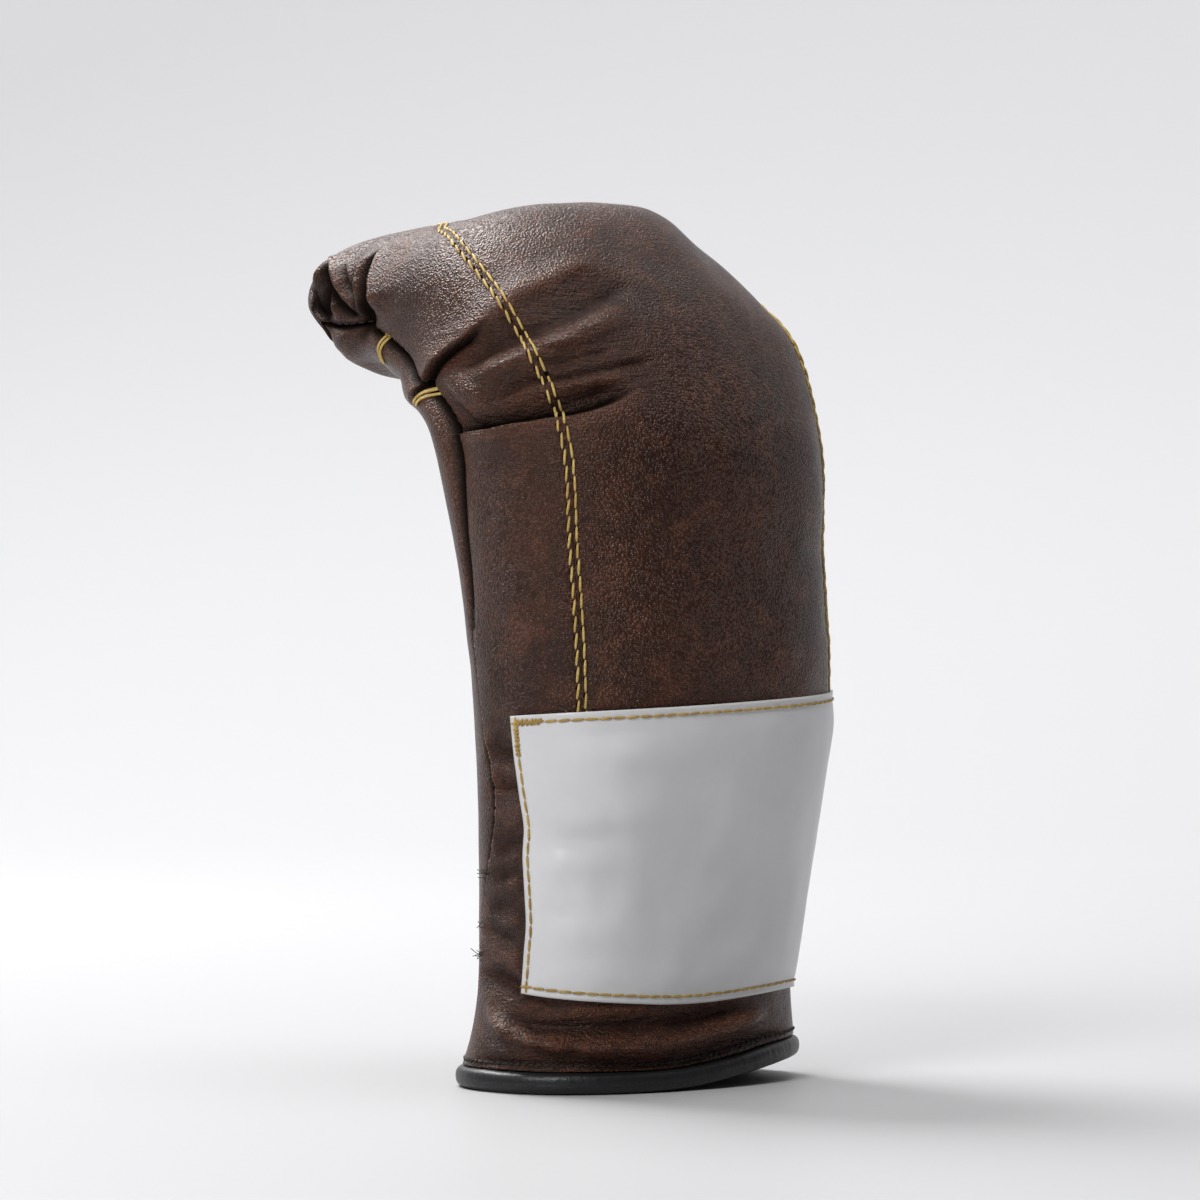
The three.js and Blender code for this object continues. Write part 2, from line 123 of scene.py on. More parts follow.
def table(columns, rows):
    """Columns of a short table as arrays, by name."""
    return {name: np.array([row[i] for row in rows], float) for i, name in enumerate(columns.split())}


# Sections from the rim (at 0) over the knuckles to the fingertips (at 1), as shares of the sizes
SECTIONS = table(
    "at backX backZ palmX palmZ near far square backSeam palmSeam pad welt",
    [
        (0.0, 0.243, 0.0, -0.262, 0.0, 0.465, 0.447, 2.35, 54, 122, 0.25, 0.0),
        (0.08, 0.229, 0.085, -0.214, 0.085, 0.439, 0.439, 2.35, 54, 117, 0.35, 0.0),
        (0.2, 0.264, 0.232, -0.196, 0.232, 0.452, 0.452, 2.35, 54, 105, 0.45, 0.0),
        (0.27, 0.293, 0.317, -0.189, 0.317, 0.465, 0.465, 2.35, 54, 98, 0.5, 0.1),
        (0.35, 0.321, 0.415, -0.196, 0.415, 0.482, 0.482, 2.35, 54, 107, 0.6, 0.0),
        (0.5, 0.307, 0.598, -0.221, 0.589, 0.491, 0.491, 2.35, 54, 113, 0.8, 0.35),
        (0.627, 0.271, 0.764, -0.286, 0.736, 0.5, 0.503, 2.35, 54, 107, 1.0, 0.75),
        (0.716, 0.104, 0.915, -0.336, 0.76, 0.491, 0.488, 2.35, 57, 116, 1.0, 1.0),
        (0.782, -0.068, 1.002, -0.393, 0.772, 0.456, 0.434, 2.35, 59, 118, 0.95, 0.7),
        (0.862, -0.321, 0.996, -0.471, 0.805, 0.43, 0.395, 2.5, 40, 114, 0.8, 0.4),
        (0.957, -0.595, 0.97, -0.595, 0.813, 0.395, 0.375, 3.6, 32, 105, 0.5, 0.1),
        (1.0, -0.686, 0.947, -0.675, 0.846, 0.37, 0.355, 4.0, 30, 104, 0.35, 0.0),
    ],
)

# Path of the thumb stall as shares of its rise, and its thickness as a share of its radius
THUMB_PATH = table(
    "at out across up round",
    [
        (0.0, 0.0, 0.0, 0.0, 1.0),
        (0.3, -0.24, 0.08, 0.2, 1.0),
        (0.6, -0.42, 0.14, 0.5, 1.0),
        (0.85, -0.48, 0.17, 0.8, 0.95),
        (1.0, -0.48, 0.18, 1.0, 0.9),
    ],
)

# Creases where one side laps over the other. Each line runs through points (at, angle round from
# the back). below and above are the heights in millimetres beside the line, on its right and left
# as it runs, low and high how far they reach, gather is how strongly fine wrinkles crowd round it,
# and dark is how wide its painted shade is.
LAPS = (
    # name, below, above, low, high, gather, dark, points
    ("knuckle crease", 1.3, -5.4, 6.0, 3.4, 0.5, 1.5,
     ((0.615, -112), (0.616, -102), (0.617, -92), (0.617, -83), (0.619, -74), (0.620, -65),
      (0.622, -57), (0.6225, -51), (0.625, -45), (0.6275, -40.5), (0.631, -36), (0.636, -31),
      (0.641, -26))),
    ("armpit crease", -4.0, 1.6, 1.7, 5.0, 0.3, 0.7,
     ((0.69, -129), (0.695, -121), (0.70, -113), (0.7025, -106), (0.7048, -99), (0.706, -92.5),
      (0.706, -86), (0.7055, -79), (0.7068, -72), (0.709, -65))),
    ("small fold", -1.8, 0.3, 2.6, 4.0, 0.5, 1.1, ((0.648, -95), (0.636, -94.5), (0.620, -92.5))),
    ("finger crease", 0.8, -4.8, 5.0, 2.0, 0.3, 1.5,
     ((0.852, -120), (0.8515, -113), (0.8516, -106.5), (0.8626, -90), (0.8705, -81.5), (0.877, -71),
      (0.8822, -61.5), (0.891, -52))),
    ("roll edge", 0.3, -1.5, 1.2, 1.5, 0.3, 0.8,
     ((0.867, -107), (0.876, -103.5), (0.885, -95), (0.892, -86.5), (0.897, -77.5), (0.900, -68.5),
      (0.900, -60))),
    ("first pleat", 0.9, -1.9, 1.3, 1.4, 0.3, 0.9,
     ((0.868, -107.5), (0.895, -99), (0.911, -90), (0.921, -82), (0.934, -69), (0.945, -58))),
    ("second pleat", 0.6, -1.0, 1.2, 1.2, 0.3, 0.7,
     ((0.888, -93), (0.897, -85), (0.907, -77), (0.916, -68), (0.926, -58))),
    ("tip groove", 0.4, -4.6, 2.0, 1.3, 0.0, 1.1,
     ((0.929, -105), (0.931, -98), (0.932, -90), (0.933, -81), (0.937, -71), (0.945, -61),
      (0.957, -52))),
    ("far knuckle crease", -4.0, 0.7, 3.4, 8.0, 0.5, 1.1,
     ((0.62, 112), (0.618, 98), (0.619, 84), (0.622, 72), (0.624, 64))),
    ("far armpit crease", 0.8, -3.6, 6.0, 5.0, 0.4, 1.1,
     ((0.695, 110), (0.706, 96), (0.706, 82), (0.70, 70))),
    ("far finger crease", -3.4, 0.8, 3.8, 5.0, 0.3, 1.1,
     ((0.852, 110), (0.866, 92), (0.882, 74), (0.9, 56))),
    ("far pleat", 0.8, -2.2, 3.0, 2.4, 0.4, 1.1, ((0.89, 106), (0.91, 92), (0.936, 76))),
)

# Folds and dents that are alike on both sides of their line
FOLDS = (
    # name, height, low, high, gather, points
    ("knuckle pocket", -2.6, 2.4, 3.0, 0.5,
     ((0.629, -58), (0.631, -52), (0.634, -46), (0.637, -41), (0.640, -36), (0.643, -31))),
    ("armpit ridge", 1.6, 3.0, 4.6, 0.3,
     ((0.705, -84), (0.709, -69), (0.713, -61), (0.7185, -52.5), (0.7215, -40.5), (0.727, -30),
      (0.733, -20))),
    ("upper valley", -4.0, 2.8, 7.0, 1.0,
     ((0.681, -97), (0.682, -88), (0.682, -80), (0.684, -72), (0.686, -64), (0.689, -56), (0.691, -48),
      (0.694, -40), (0.699, -31), (0.706, -21), (0.712, -13))),
    ("middle ridge", 2.3, 3.8, 3.0, 0.8,
     ((0.676, -92), (0.674, -82), (0.6715, -70), (0.6725, -60), (0.674, -52), (0.677, -44),
      (0.681, -37), (0.688, -28), (0.695, -19))),
    ("middle valley", -1.9, 1.4, 1.8, 1.0,
     ((0.642, -88), (0.644, -78), (0.648, -69), (0.652, -60), (0.651, -52), (0.651, -46), (0.653, -40),
      (0.655, -32), (0.658, -23), (0.661, -14))),
    ("lower ridge", 1.1, 2.4, 2.0, 0.8,
     ((0.637, -76), (0.642, -67), (0.645, -58), (0.645, -50), (0.647, -42), (0.650, -33), (0.653, -25))),
    ("low wrinkle", -0.8, 1.0, 1.2, 1.0, ((0.661, -56), (0.662, -47), (0.665, -38), (0.668, -28))),
    ("gusset bulge", 1.3, 6.0, 5.0, 0.2, ((0.655, -101), (0.659, -92), (0.66, -82))),
    ("finger roll", 3.0, 1.9, 1.9, 0.0,
     ((0.861, -107.5), (0.870, -99), (0.879, -89), (0.886, -79), (0.890, -69), (0.893, -60),
      (0.897, -53))),
    ("tip roll", 3.0, 1.8, 2.6, 0.0,
     ((0.939, -108), (0.941, -98), (0.942, -90), (0.943, -81), (0.947, -71), (0.955, -61),
      (0.967, -52))),
    ("far valley", -3.0, 4.0, 5.0, 1.0, ((0.675, 96), (0.682, 80), (0.69, 66))),
    ("wrist dent", -1.9, 3.6, 3.6, 0.9, ((0.33, -104), (0.322, -92), (0.314, -80))),
    ("wrist dent", -1.4, 2.6, 3.0, 0.9, ((0.297, -101), (0.291, -90), (0.288, -78))),
    ("wrist dent", -1.7, 3.4, 3.4, 0.9, ((0.234, -99), (0.24, -88), (0.246, -75))),
    ("wrist dent", -1.2, 2.2, 2.8, 0.9, ((0.203, -99), (0.211, -88), (0.219, -75))),
    ("wrist dent", -1.5, 3.0, 3.0, 0.9, ((0.178, -103), (0.183, -90), (0.187, -74))),
    ("wrist dent", -1.3, 2.4, 2.8, 0.9, ((0.163, -108), (0.155, -92), (0.148, -74))),
    ("cuff dent", -4.0, 2.4, 3.2, 0.8,
     ((0.121, -112), (0.117, -96), (0.108, -82), (0.097, -66), (0.092, -48))),
    ("cuff ridge", 4.0, 2.4, 2.5, 0.9,
     ((0.092, -104), (0.068, -84), (0.054, -62), (0.05, -43), (0.051, -24), (0.053, -8), (0.056, 10),
      (0.06, 30))),
    ("cuff hollow", -2.3, 1.8, 1.8, 0.7,
     ((0.082, -90), (0.073, -72), (0.07, -54), (0.071, -30), (0.073, -8), (0.075, 16))),
    ("rim hollow", -1.9, 1.5, 1.5, 0.5,
     ((0.034, -108), (0.032, -80), (0.031, -50), (0.031, -20), (0.032, 10), (0.033, 40))),
    ("cuff tuck", -1.8, 1.8, 1.8, 0.7, ((0.07, -86), (0.061, -72), (0.059, -58))),
    ("rim tuck", -1.6, 1.6, 1.6, 0.5, ((0.05, -70), (0.043, -58), (0.045, -44))),
    ("rim tuck", -1.3, 1.6, 1.6, 0.5, ((0.056, -34), (0.05, -22), (0.054, -12))),
    ("far wrist dent", -1.8, 3.4, 3.4, 0.9, ((0.25, 76), (0.242, 90), (0.234, 104))),
    ("far wrist dent", -1.5, 3.0, 3.0, 0.9, ((0.2, 74), (0.19, 90), (0.186, 104))),
    ("far wrist dent", -1.6, 3.2, 3.2, 0.9, ((0.15, 72), (0.14, 90), (0.132, 108))),
    ("far wrist dent", -1.6, 3.2, 3.2, 0.9, ((0.318, 78), (0.326, 92), (0.33, 106))),
    ("palm crease", -2.4, 5.0, 6.0, 0.9, ((0.64, 136), (0.636, 160), (0.638, 179))),
    ("palm crease", -2.4, 6.0, 5.0, 0.9, ((0.638, -179), (0.636, -160), (0.64, -136))),
    ("palm crease", -1.8, 5.0, 5.0, 0.9, ((0.71, 132), (0.7, 156), (0.7, 179))),
    ("palm crease", -1.8, 5.0, 5.0, 0.9, ((0.7, -179), (0.7, -156), (0.71, -132))),
    ("palm crease", -1.6, 5.0, 5.0, 0.8, ((0.83, 136), (0.826, 160), (0.828, 179))),
    ("palm crease", -1.6, 5.0, 5.0, 0.8, ((0.828, -179), (0.826, -160), (0.83, -136))),
    ("heel line", -1.2, 4.0, 4.0, 0.7, ((0.24, 150), (0.26, 165), (0.3, 179))),
    ("heel line", -1.2, 4.0, 4.0, 0.7, ((0.14, -170), (0.15, -150), (0.13, -130))),
)
DEEPEST = 5.5                   # no fold sinks further than this

FOLDS_END = 0.966               # where folds fade towards the fingertips' end, and where they are gone
FOLDS_GONE = 0.98

# Slow undulation of the leather: height, size round and along the glove, and seed
UNDULATIONS = (
    (0.45, 22, 26, 3),
    (0.22, 9, 10, 4),
)
WRINKLE_HEIGHT = 0.5
PUCKER_HEIGHT = 0.16            # puckers beside the stitch rows
PUCKER_REACH = 5

# Broad swells and hollows: share along and angle of the middle, reach along and round, height
SWELLS = (
    (0.81, -24, 26, 24, -1.7),
    (0.762, 36, 14, 14, -2.1),
    (0.69, 52, 13, 15, 3.2),
    (0.655, 58, 14, 12, 1.9),
)


def smooth(share):
    t = np.clip(share, 0, 1)
    return t * t * (3 - 2 * t)


def column(rows, name, at):
    """Value of a column between its rows, on a smooth curve through them."""
    xs, ys = rows["at"], rows[name]
    slopes = np.gradient(ys, xs)
    x = np.clip(at, xs[0], xs[-1])
    i = np.clip(np.searchsorted(xs, x) - 1, 0, len(xs) - 2)
    step = xs[i + 1] - xs[i]
    t = (x - xs[i]) / step
    start = (2 * t**3 - 3 * t**2 + 1) * ys[i] + (t**3 - 2 * t**2 + t) * slopes[i] * step
    return start + (3 * t**2 - 2 * t**3) * ys[i + 1] + (t**3 - t**2) * slopes[i + 1] * step


def turn(angle, centre=0.0):
    """Angle between two directions round the glove, from -180 to 180."""
    return (np.asarray(angle, float) - centre + 180) % 360 - 180


def round_off(at, start, end):
    return np.sqrt(1 - np.clip((at - start) / (end - start), 0, 1) ** 2)


def tip_size(at):
    """Thickness of the glove as a share of its section's, which falls off at the fingertips."""
    return np.maximum(round_off(at, TIP_ROUND_FROM, 1), TIP_LAST)


def at_height(height):
    """Share along the glove at a height on the wrist, where the sections lie level."""
    shares = np.linspace(0, 0.5, 2001)
    return np.interp(height, column(SECTIONS, "backZ", shares) * GLOVE_HEIGHT, shares)


RIM_AT = float(at_height(RIM_HEIGHT + 0.3))
SEWN_FROM = float(at_height(LABEL_BOTTOM + 0.8 * LABEL_HEIGHT))
SEWN_FADE = 0.02
PALM_SEWN_FROM = 0.42           # the palm's seams are stitched from here, and cut edges below
PALM_SEWN_FULL = 0.48
RAW_UNTIL = 0.44
RAW_GONE = 0.49
NO_SEAM = 1e3                   # distance from a seam, where there is none


def rim_lift(at, angle):
    """The rim bows up off the floor at the back, and the leather above it follows."""
    lift_middle, lift_reach, lift_fade = 50, 75, 0.2
    away = np.minimum(np.abs(turn(angle, lift_middle)) / lift_reach, 1)
    return RIM_LIFT * np.cos(away * math.pi / 2) ** 2 * (1 - smooth((at - RIM_AT) / (lift_fade - RIM_AT)))


def outline(at, angle):
    """Parts of the rounded section: its middle, way from palm to back, half sizes and direction."""
    at, angle = np.broadcast_arrays(np.asarray(at, float), np.asarray(angle, float))
    value = lambda name: column(SECTIONS, name, at)
    back = np.stack([value("backX") * BEND_REACH, value("backZ") * GLOVE_HEIGHT], -1)
    palm = np.stack([value("palmX") * BEND_REACH, value("palmZ") * GLOVE_HEIGHT], -1)
    reach = back - palm
    depth = np.linalg.norm(reach, axis=-1) / 2
    square = value("square")
    c, q = np.cos(np.radians(angle)), np.sin(np.radians(angle))
    size = (np.abs(c) ** square + np.abs(q) ** square) ** (-1 / square)
    half = np.where(q < 0, value("near"), value("far")) * KNUCKLE_WIDTH
    tip = tip_size(at)
    return {
        "middle": (back + palm) / 2, "axis": reach / (2 * depth[..., None]), "depth": depth,
        "cos": c * size, "sin": q * size, "half": half * (TIP_SIDE + (1 - TIP_SIDE) * tip),
        "square": square, "tip": tip,
        "short": PALM_SHORT * smooth((at - PALM_SHORT_FROM) / (PALM_SHORT_FULL - PALM_SHORT_FROM)),
    }


def outward(cut, depth, half):
    """Direction square to the section's outline: its parts along the depth and the width."""
    power = cut["square"] - 1
    c = np.sign(cut["cos"]) * np.abs(cut["cos"]) ** power / depth
    q = np.sign(cut["sin"]) * np.abs(cut["sin"]) ** power / half
    size = np.hypot(c, q)
    return c / size, q / size


def place(cut, depth, side, lift):
    """Point at a depth from the section's middle towards the back, and at a side."""
    short_fade = 10
    x = cut["middle"][..., 0] + cut["axis"][..., 0] * depth + cut["short"] * smooth(-depth / short_fade)
    z = cut["middle"][..., 1] + cut["axis"][..., 1] * depth + lift
    return np.stack([x, side, z], -1)


def skin(at, angle, raised=0.0):
    """Outer surface of the glove, raised along its normal."""
    cut = outline(at, angle)
    c, q = outward(cut, cut["depth"], cut["half"])
    depth = cut["depth"] * cut["tip"] * cut["cos"] + raised * c
    return place(cut, depth, cut["half"] * cut["sin"] + raised * q, rim_lift(at, angle))


def skin_normal(at, angle):
    cut = outline(at, angle)
    c, q = outward(cut, cut["depth"], cut["half"])
    normal = np.stack([cut["axis"][..., 0] * c, q, cut["axis"][..., 1] * c], -1)
    return normal / np.linalg.norm(normal, axis=-1, keepdims=True)


def lining(at, angle, raised):
    """Inner surface: padding behind the back, leather elsewhere, closed at the fingertips."""
    cut = outline(at, angle)
    end = round_off(at, HOLLOW_ROUND_FROM, HOLLOW_END)
    wall = np.where(cut["cos"] > 0, column(SECTIONS, "pad", at) * KNUCKLE_PAD, LEATHER)
    half = cut["half"] - GUSSET_WALL
    depth = np.maximum((cut["depth"] - wall) * end, 0.15)
    c, q = outward(cut, cut["depth"], half)
    thin_from, thin_to = 42, 62
    follows = smooth((np.abs(turn(angle)) - thin_from) / (thin_to - thin_from)) * end
    lifted = raised * follows
    return place(cut, depth * cut["cos"] + lifted * c, half * cut["sin"] + lifted * q, rim_lift(at, angle))


def seam_angle(seam, side, at):
    """Angle of a panel seam on the near side (-1) or the far one (1)."""
    at = np.asarray(at)
    at_tips, at_crest, at_wrist, crest, reach = 9, 7, 3, 0.7, 0.05
    nearer_back = 0
    if seam == "backSeam" and side < 0:
        nearer_back = at_tips * smooth((at - 0.835) / reach)
    if seam == "backSeam" and side > 0:
        over_crest = np.exp(-(((at - crest) / reach) ** 2))
        nearer_back = at_crest * over_crest + at_wrist * smooth((0.68 - at) / 0.1)
    return side * (column(SECTIONS, seam, at) - nearer_back)


def station_list():
    """Shares along the glove, closer together at the bend's folds and at the fingertips."""
    fine = np.linspace(RIM_AT, 1, 4001)
    bend, fingertips, reach = 0.655, 0.91, 0.07
    crowd = 1 + np.exp(-(((fine - bend) / reach) ** 2)) + np.exp(-(((fine - fingertips) / reach) ** 2))
    sums = np.concatenate([[0], np.cumsum((crowd[1:] + crowd[:-1]) / 2)])
    return np.interp(np.linspace(0, sums[-1], STATIONS), sums, fine)


def noise(u, v, seed):
    """Smooth noise from -1 to 1 on a seeded square lattice."""
    lattice = np.random.default_rng(seed).uniform(-1, 1, (256, 256))
    i, j = np.floor(u).astype(int), np.floor(v).astype(int)
    fu, fv = smooth(u - i), smooth(v - j)
    corner = lambda di, dj: lattice[(i + di) % 256, (j + dj) % 256]
    low = corner(0, 0) + (corner(1, 0) - corner(0, 0)) * fu
    high = corner(0, 1) + (corner(1, 1) - corner(0, 1)) * fu
    return low + (high - low) * fv


def arc_lengths(points, axis):
    steps = np.linalg.norm(np.diff(points, axis=axis), axis=-1)
    shape = list(steps.shape)
    shape[axis] = 1
    return np.concatenate([np.zeros(shape), np.cumsum(steps, axis=axis)], axis)


def padded(field, count, axis):
    """Field with its ends repeated along the glove, or taken on round it."""
    pad = [(0, 0), (0, 0)]
    pad[axis] = (count, count)
    return np.pad(field, pad, mode="edge" if axis == 0 else "wrap")


def blurred(field, count):
    """Field averaged over its neighbours, twice, across both of its axes."""
    width = 2 * count + 1
    for axis in (0, 1, 0, 1):
        sums = np.insert(np.cumsum(padded(field, count, axis), axis), 0, 0, axis)
        ahead = np.take(sums, range(width, sums.shape[axis]), axis)
        behind = np.take(sums, range(sums.shape[axis] - width), axis)
        field = (ahead - behind) / width
    return field


def lowest(field, count):
    """Lowest value of a field within a count of rows and columns."""
    for axis in (0, 1):
        wide, size = padded(field, count, axis), field.shape[axis]
        field = np.min([np.take(wide, range(k, k + size), axis) for k in range(2 * count + 1)], axis=0)
    return field


def between(grid, row, col):
    """Value of a grid at places between its rows and columns."""
    i = np.clip(np.floor(row).astype(int), 0, grid.shape[0] - 2)
    j = np.clip(np.floor(col).astype(int), 0, grid.shape[1] - 2)
    u, v = row - i, col - j
    low = grid[i, j] * (1 - v) + grid[i, j + 1] * v
    high = grid[i + 1, j] * (1 - v) + grid[i + 1, j + 1] * v
    return low * (1 - u) + high * u


def beside_path(path, spots):
    """Distance of spots from a path, minus on its right, and how far along it they lie."""
    run = arc_lengths(path, 0)
    best = np.full(len(spots), 1e9)
    signed, where = np.zeros(len(spots)), np.zeros(len(spots))
    for k in range(len(path) - 1):
        step = path[k + 1] - path[k]
        size = np.linalg.norm(step)
        offset = spots - path[k]
        t = np.clip(offset @ step / size**2, 0, 1)
        gap = np.linalg.norm(offset - t[:, None] * step, axis=-1)
        side = step[0] * offset[:, 1] - step[1] * offset[:, 0]
        closer = gap < best
        best[closer] = gap[closer]
        signed[closer] = (np.sign(side) * gap)[closer]
        where[closer] = (run[k] + t * size)[closer]
    return signed, where, run[-1]


class Surface:
    """Fields over the whole skin: rows are shares along the glove, columns angles round it."""

    def __init__(self):
        self.stations = station_list()
        self.angles = np.arange(-180, 180 + FIELD_STEP / 2, FIELD_STEP)
        self.at, self.angle = np.meshgrid(self.stations, self.angles, indexing="ij")
        plain = skin(self.at, self.angle)
        self.along = arc_lengths(plain, 0)
        around = arc_lengths(plain, 1)
        self.girth = around[:, -1]
        self.round = around - around[:, [len(self.angles) // 2]]
        self.relief = np.zeros_like(self.at)
        self.gather = np.zeros_like(self.at)
        # How dark the painted shade is in creases and along seams, from 0 to 1
        self.painted_shade = np.zeros_like(self.at)
        for _, *lap in LAPS:
            self.add_crease(*lap)
        for _, height, low, high, gather, points in FOLDS:
            self.add_crease(height, height, low, high, gather, None, points)
        for swell in SWELLS:
            self.add_swell(*swell)
        self.relief = np.where(self.relief < 0, DEEPEST * np.tanh(self.relief / DEEPEST), self.relief)
        self.add_welt()
        self.add_back_seams()
        self.add_palm_seams()
        self.add_wrinkles()
        self.settle_tip()
        self.settle_under_label()
        proud = 0.7
        # Above 0 on ridges, which are rubbed lighter; below 0 in hollows, which take a darker tone and
        # painted shade
        self.wear_and_hollow_shade = np.clip((self.relief - blurred(self.relief, 7)) / proud, -1, 1)
        self.painted_shade = np.clip(self.painted_shade, 0, 1)
        self.under = blurred(lowest(self.relief, 8), 3)

    def spot(self, at, angle, field):
        """Value of a field at any places, between its rows and columns."""
        row = np.interp(at, self.stations, np.arange(len(self.stations)))
        return between(field, row, (turn(angle) + 180) / FIELD_STEP)

    def add_swell(self, at, angle, along, across, height):
        """One row of SWELLS."""
        u = (self.round - self.spot(at, angle, self.round)) / across
        v = (self.along - self.spot(at, angle, self.along)) / along
        self.relief += height * np.exp(-(u**2) - v**2)

    def add_crease(self, below, above, low, high, gather, dark, points):
        """One row of LAPS, or one of FOLDS, which have no painted shade."""
        line = np.array(points, float)
        share = np.linspace(0, 1, 5 * len(line))
        marks = np.linspace(0, 1, len(line))
        curve = {"at": marks, "share": line[:, 0], "turn": line[:, 1]}
        at, angle = column(curve, "share", share), column(curve, "turn", share)
        path = np.stack([self.spot(at, angle, self.round), self.spot(at, angle, self.along)], -1)
        reach = 3 * max(low, high) + 6
        near = np.abs(self.along - path[:, 1].mean()) < np.ptp(path[:, 1]) / 2 + reach
        near &= np.abs(self.round - path[:, 0].mean()) < np.ptp(path[:, 0]) / 2 + reach
        spots = np.stack([self.round[near], self.along[near]], -1)
        signed, where, length = beside_path(path, spots)
        longest_fade, gather_reach, full_shade = 14, 11, 2.8
        fade = min(0.3 * length, longest_fade)
        ends = smooth(where / fade) * smooth((length - where) / fade)
        blend = 0.8 if dark else 0.1
        side = smooth(signed / blend + 0.5)

        def fall(height, width):
            """Ridges are round, and valleys are sharp at their line."""
            return height * np.exp(-(np.abs(signed) / width) ** (2 if height > 0 else 1.25))

        self.relief[near] += (fall(below, low) * (1 - side) + fall(above, high) * side) * ends
        crowd = gather * ends * np.exp(-((signed / gather_reach) ** 2))
        self.gather[near] = np.maximum(self.gather[near], crowd)
        # Painted shade on the sunken side of a lap's line
        if dark:
            sunk = side if above < below else 1 - side
            depth = min(1.0, abs(below - above) / full_shade)
            shade = ends * sunk * depth * np.exp(-((signed / dark) ** 2))
            self.painted_shade[near] = np.maximum(self.painted_shade[near], shade)

    def add_welt(self):
        """Roll of the palm's edge, past its seams."""
        past = np.abs(self.angle) - column(SECTIONS, "palmSeam", self.at)
        share = np.clip(past / WELT_ROLL, 0, 1)
        welt = column(SECTIONS, "welt", self.at) * WELT
        self.relief += welt * np.sin(math.pi * share) ** 0.7

    def add_back_seams(self):
        """Groove under the double rows, which stand a little above its bottom."""
        self.seam_gap = np.full_like(self.at, NO_SEAM)
        self.seam_run = np.zeros_like(self.at)
        for sign in (-1, 1):
            back = seam_angle("backSeam", sign, self.stations)
            middle = self.spot(self.stations, back, self.round)
            run = arc_lengths(skin(self.stations, back), 0)
            gap = (self.round - middle[:, None]) * sign
            here = np.sign(self.angle) == sign
            self.seam_gap = np.where(here, gap, self.seam_gap)
            self.seam_run = np.where(here, run[:, None], self.seam_run)
        self.seam_gap = np.where(self.at < SEWN_FROM, NO_SEAM, self.seam_gap)
        shown = smooth((self.at - SEWN_FROM) / SEWN_FADE)
        groove_depth, groove_reach, rise, rise_reach = 0.55, 2.6, 0.3, 0.8
        self.relief -= groove_depth * np.exp(-((self.seam_gap / groove_reach) ** 2)) * shown
        self.relief += rise * np.exp(-((self.seam_gap / rise_reach) ** 2)) * shown

    def add_palm_seams(self):
        """The palm's seams are sunk where they are sewn, and below that the gussets lap the palm."""
        palm = column(SECTIONS, "palmSeam", self.stations)
        sewn = smooth((self.at - PALM_SEWN_FROM) / (PALM_SEWN_FULL - PALM_SEWN_FROM))
        seam_depth, seam_reach = 2.3, 1.2
        lap_rise, lap_reach = 0.3, 3.0
        tuck_depth, tuck_reach = 0.5, 1.2
        for sign in (-1, 1):
            edge = self.spot(self.stations, sign * palm, self.round)
            gap = (self.round - edge[:, None]) * sign
            here = np.sign(self.angle) == sign
            sunk = seam_depth * np.exp(-((np.abs(gap) / seam_reach) ** 1.3))
            self.relief -= np.where(here, sewn * sunk, 0)
            lap = np.where(gap > 0, 0, lap_rise * np.exp(np.minimum(gap, 0) / lap_reach))
            tucked = np.where(gap > 0, tuck_depth * np.exp(-np.maximum(gap, 0) / tuck_reach), 0)
            self.relief += np.where(here, (lap - tucked) * (1 - sewn), 0)
            # Painted shade along each sewn seam's groove, and on the palm under the gusset's lapping cut
            # edge
            line = np.exp(-((gap / np.where(gap > 0, 1.2, 0.7)) ** 2)) * np.where(gap > 0, 1, sewn)
            self.painted_shade = np.maximum(self.painted_shade, np.where(here, line, 0))

    def add_wrinkles(self):
        """Slow undulation everywhere, and fine wrinkles along the folds where they crowd."""
        u, v = self.round, self.along
        for height, wide, tall, seed in UNDULATIONS:
            self.relief += height * noise(u / wide, v / tall, seed)
        slanted = v + 0.17 * np.abs(u) + 1.5 * noise(u / 14, v / 14, 5)
        fine = noise(u / 9, slanted / 2.3, 6) + 0.6 * noise(u / 6, slanted / 1.3, 7)
        patch = 0.5 + 0.5 * noise(u / 12, v / 12, 8)
        self.relief += WRINKLE_HEIGHT * self.gather * patch * fine
        pucker = np.exp(-((self.seam_gap / PUCKER_REACH) ** 2)) * smooth((0.9 - self.at) / 0.1)
        self.relief += PUCKER_HEIGHT * pucker * noise(u / 7, v / 2.6, 9)

    def settle_tip(self):
        """No fold reaches the very end of the fingertips."""
        end = smooth((self.at - FOLDS_END) / (FOLDS_GONE - FOLDS_END))
        self.relief *= 1 - 0.9 * end
        self.painted_shade *= 1 - end
        self.gather *= 1 - end

    def settle_under_label(self):
        """The label presses the leather under it flat."""
        height = column(SECTIONS, "backZ", self.at) * GLOVE_HEIGHT
        up = (height - LABEL_BOTTOM) / LABEL_HEIGHT
        widest = 82
        inside = smooth((up + 0.01) / 0.05) * smooth((1.0 - up) / 0.04)
        inside = inside * smooth((widest - np.abs(self.angle)) / 4)
        self.relief = self.relief * (1 - 0.85 * inside) - 0.5 * inside


surface = Surface()


def sample(field, angle):
    """A field at each row's own angles."""
    return np.stack([np.interp(turn(row), surface.angles, line) for row, line in zip(angle, field)])


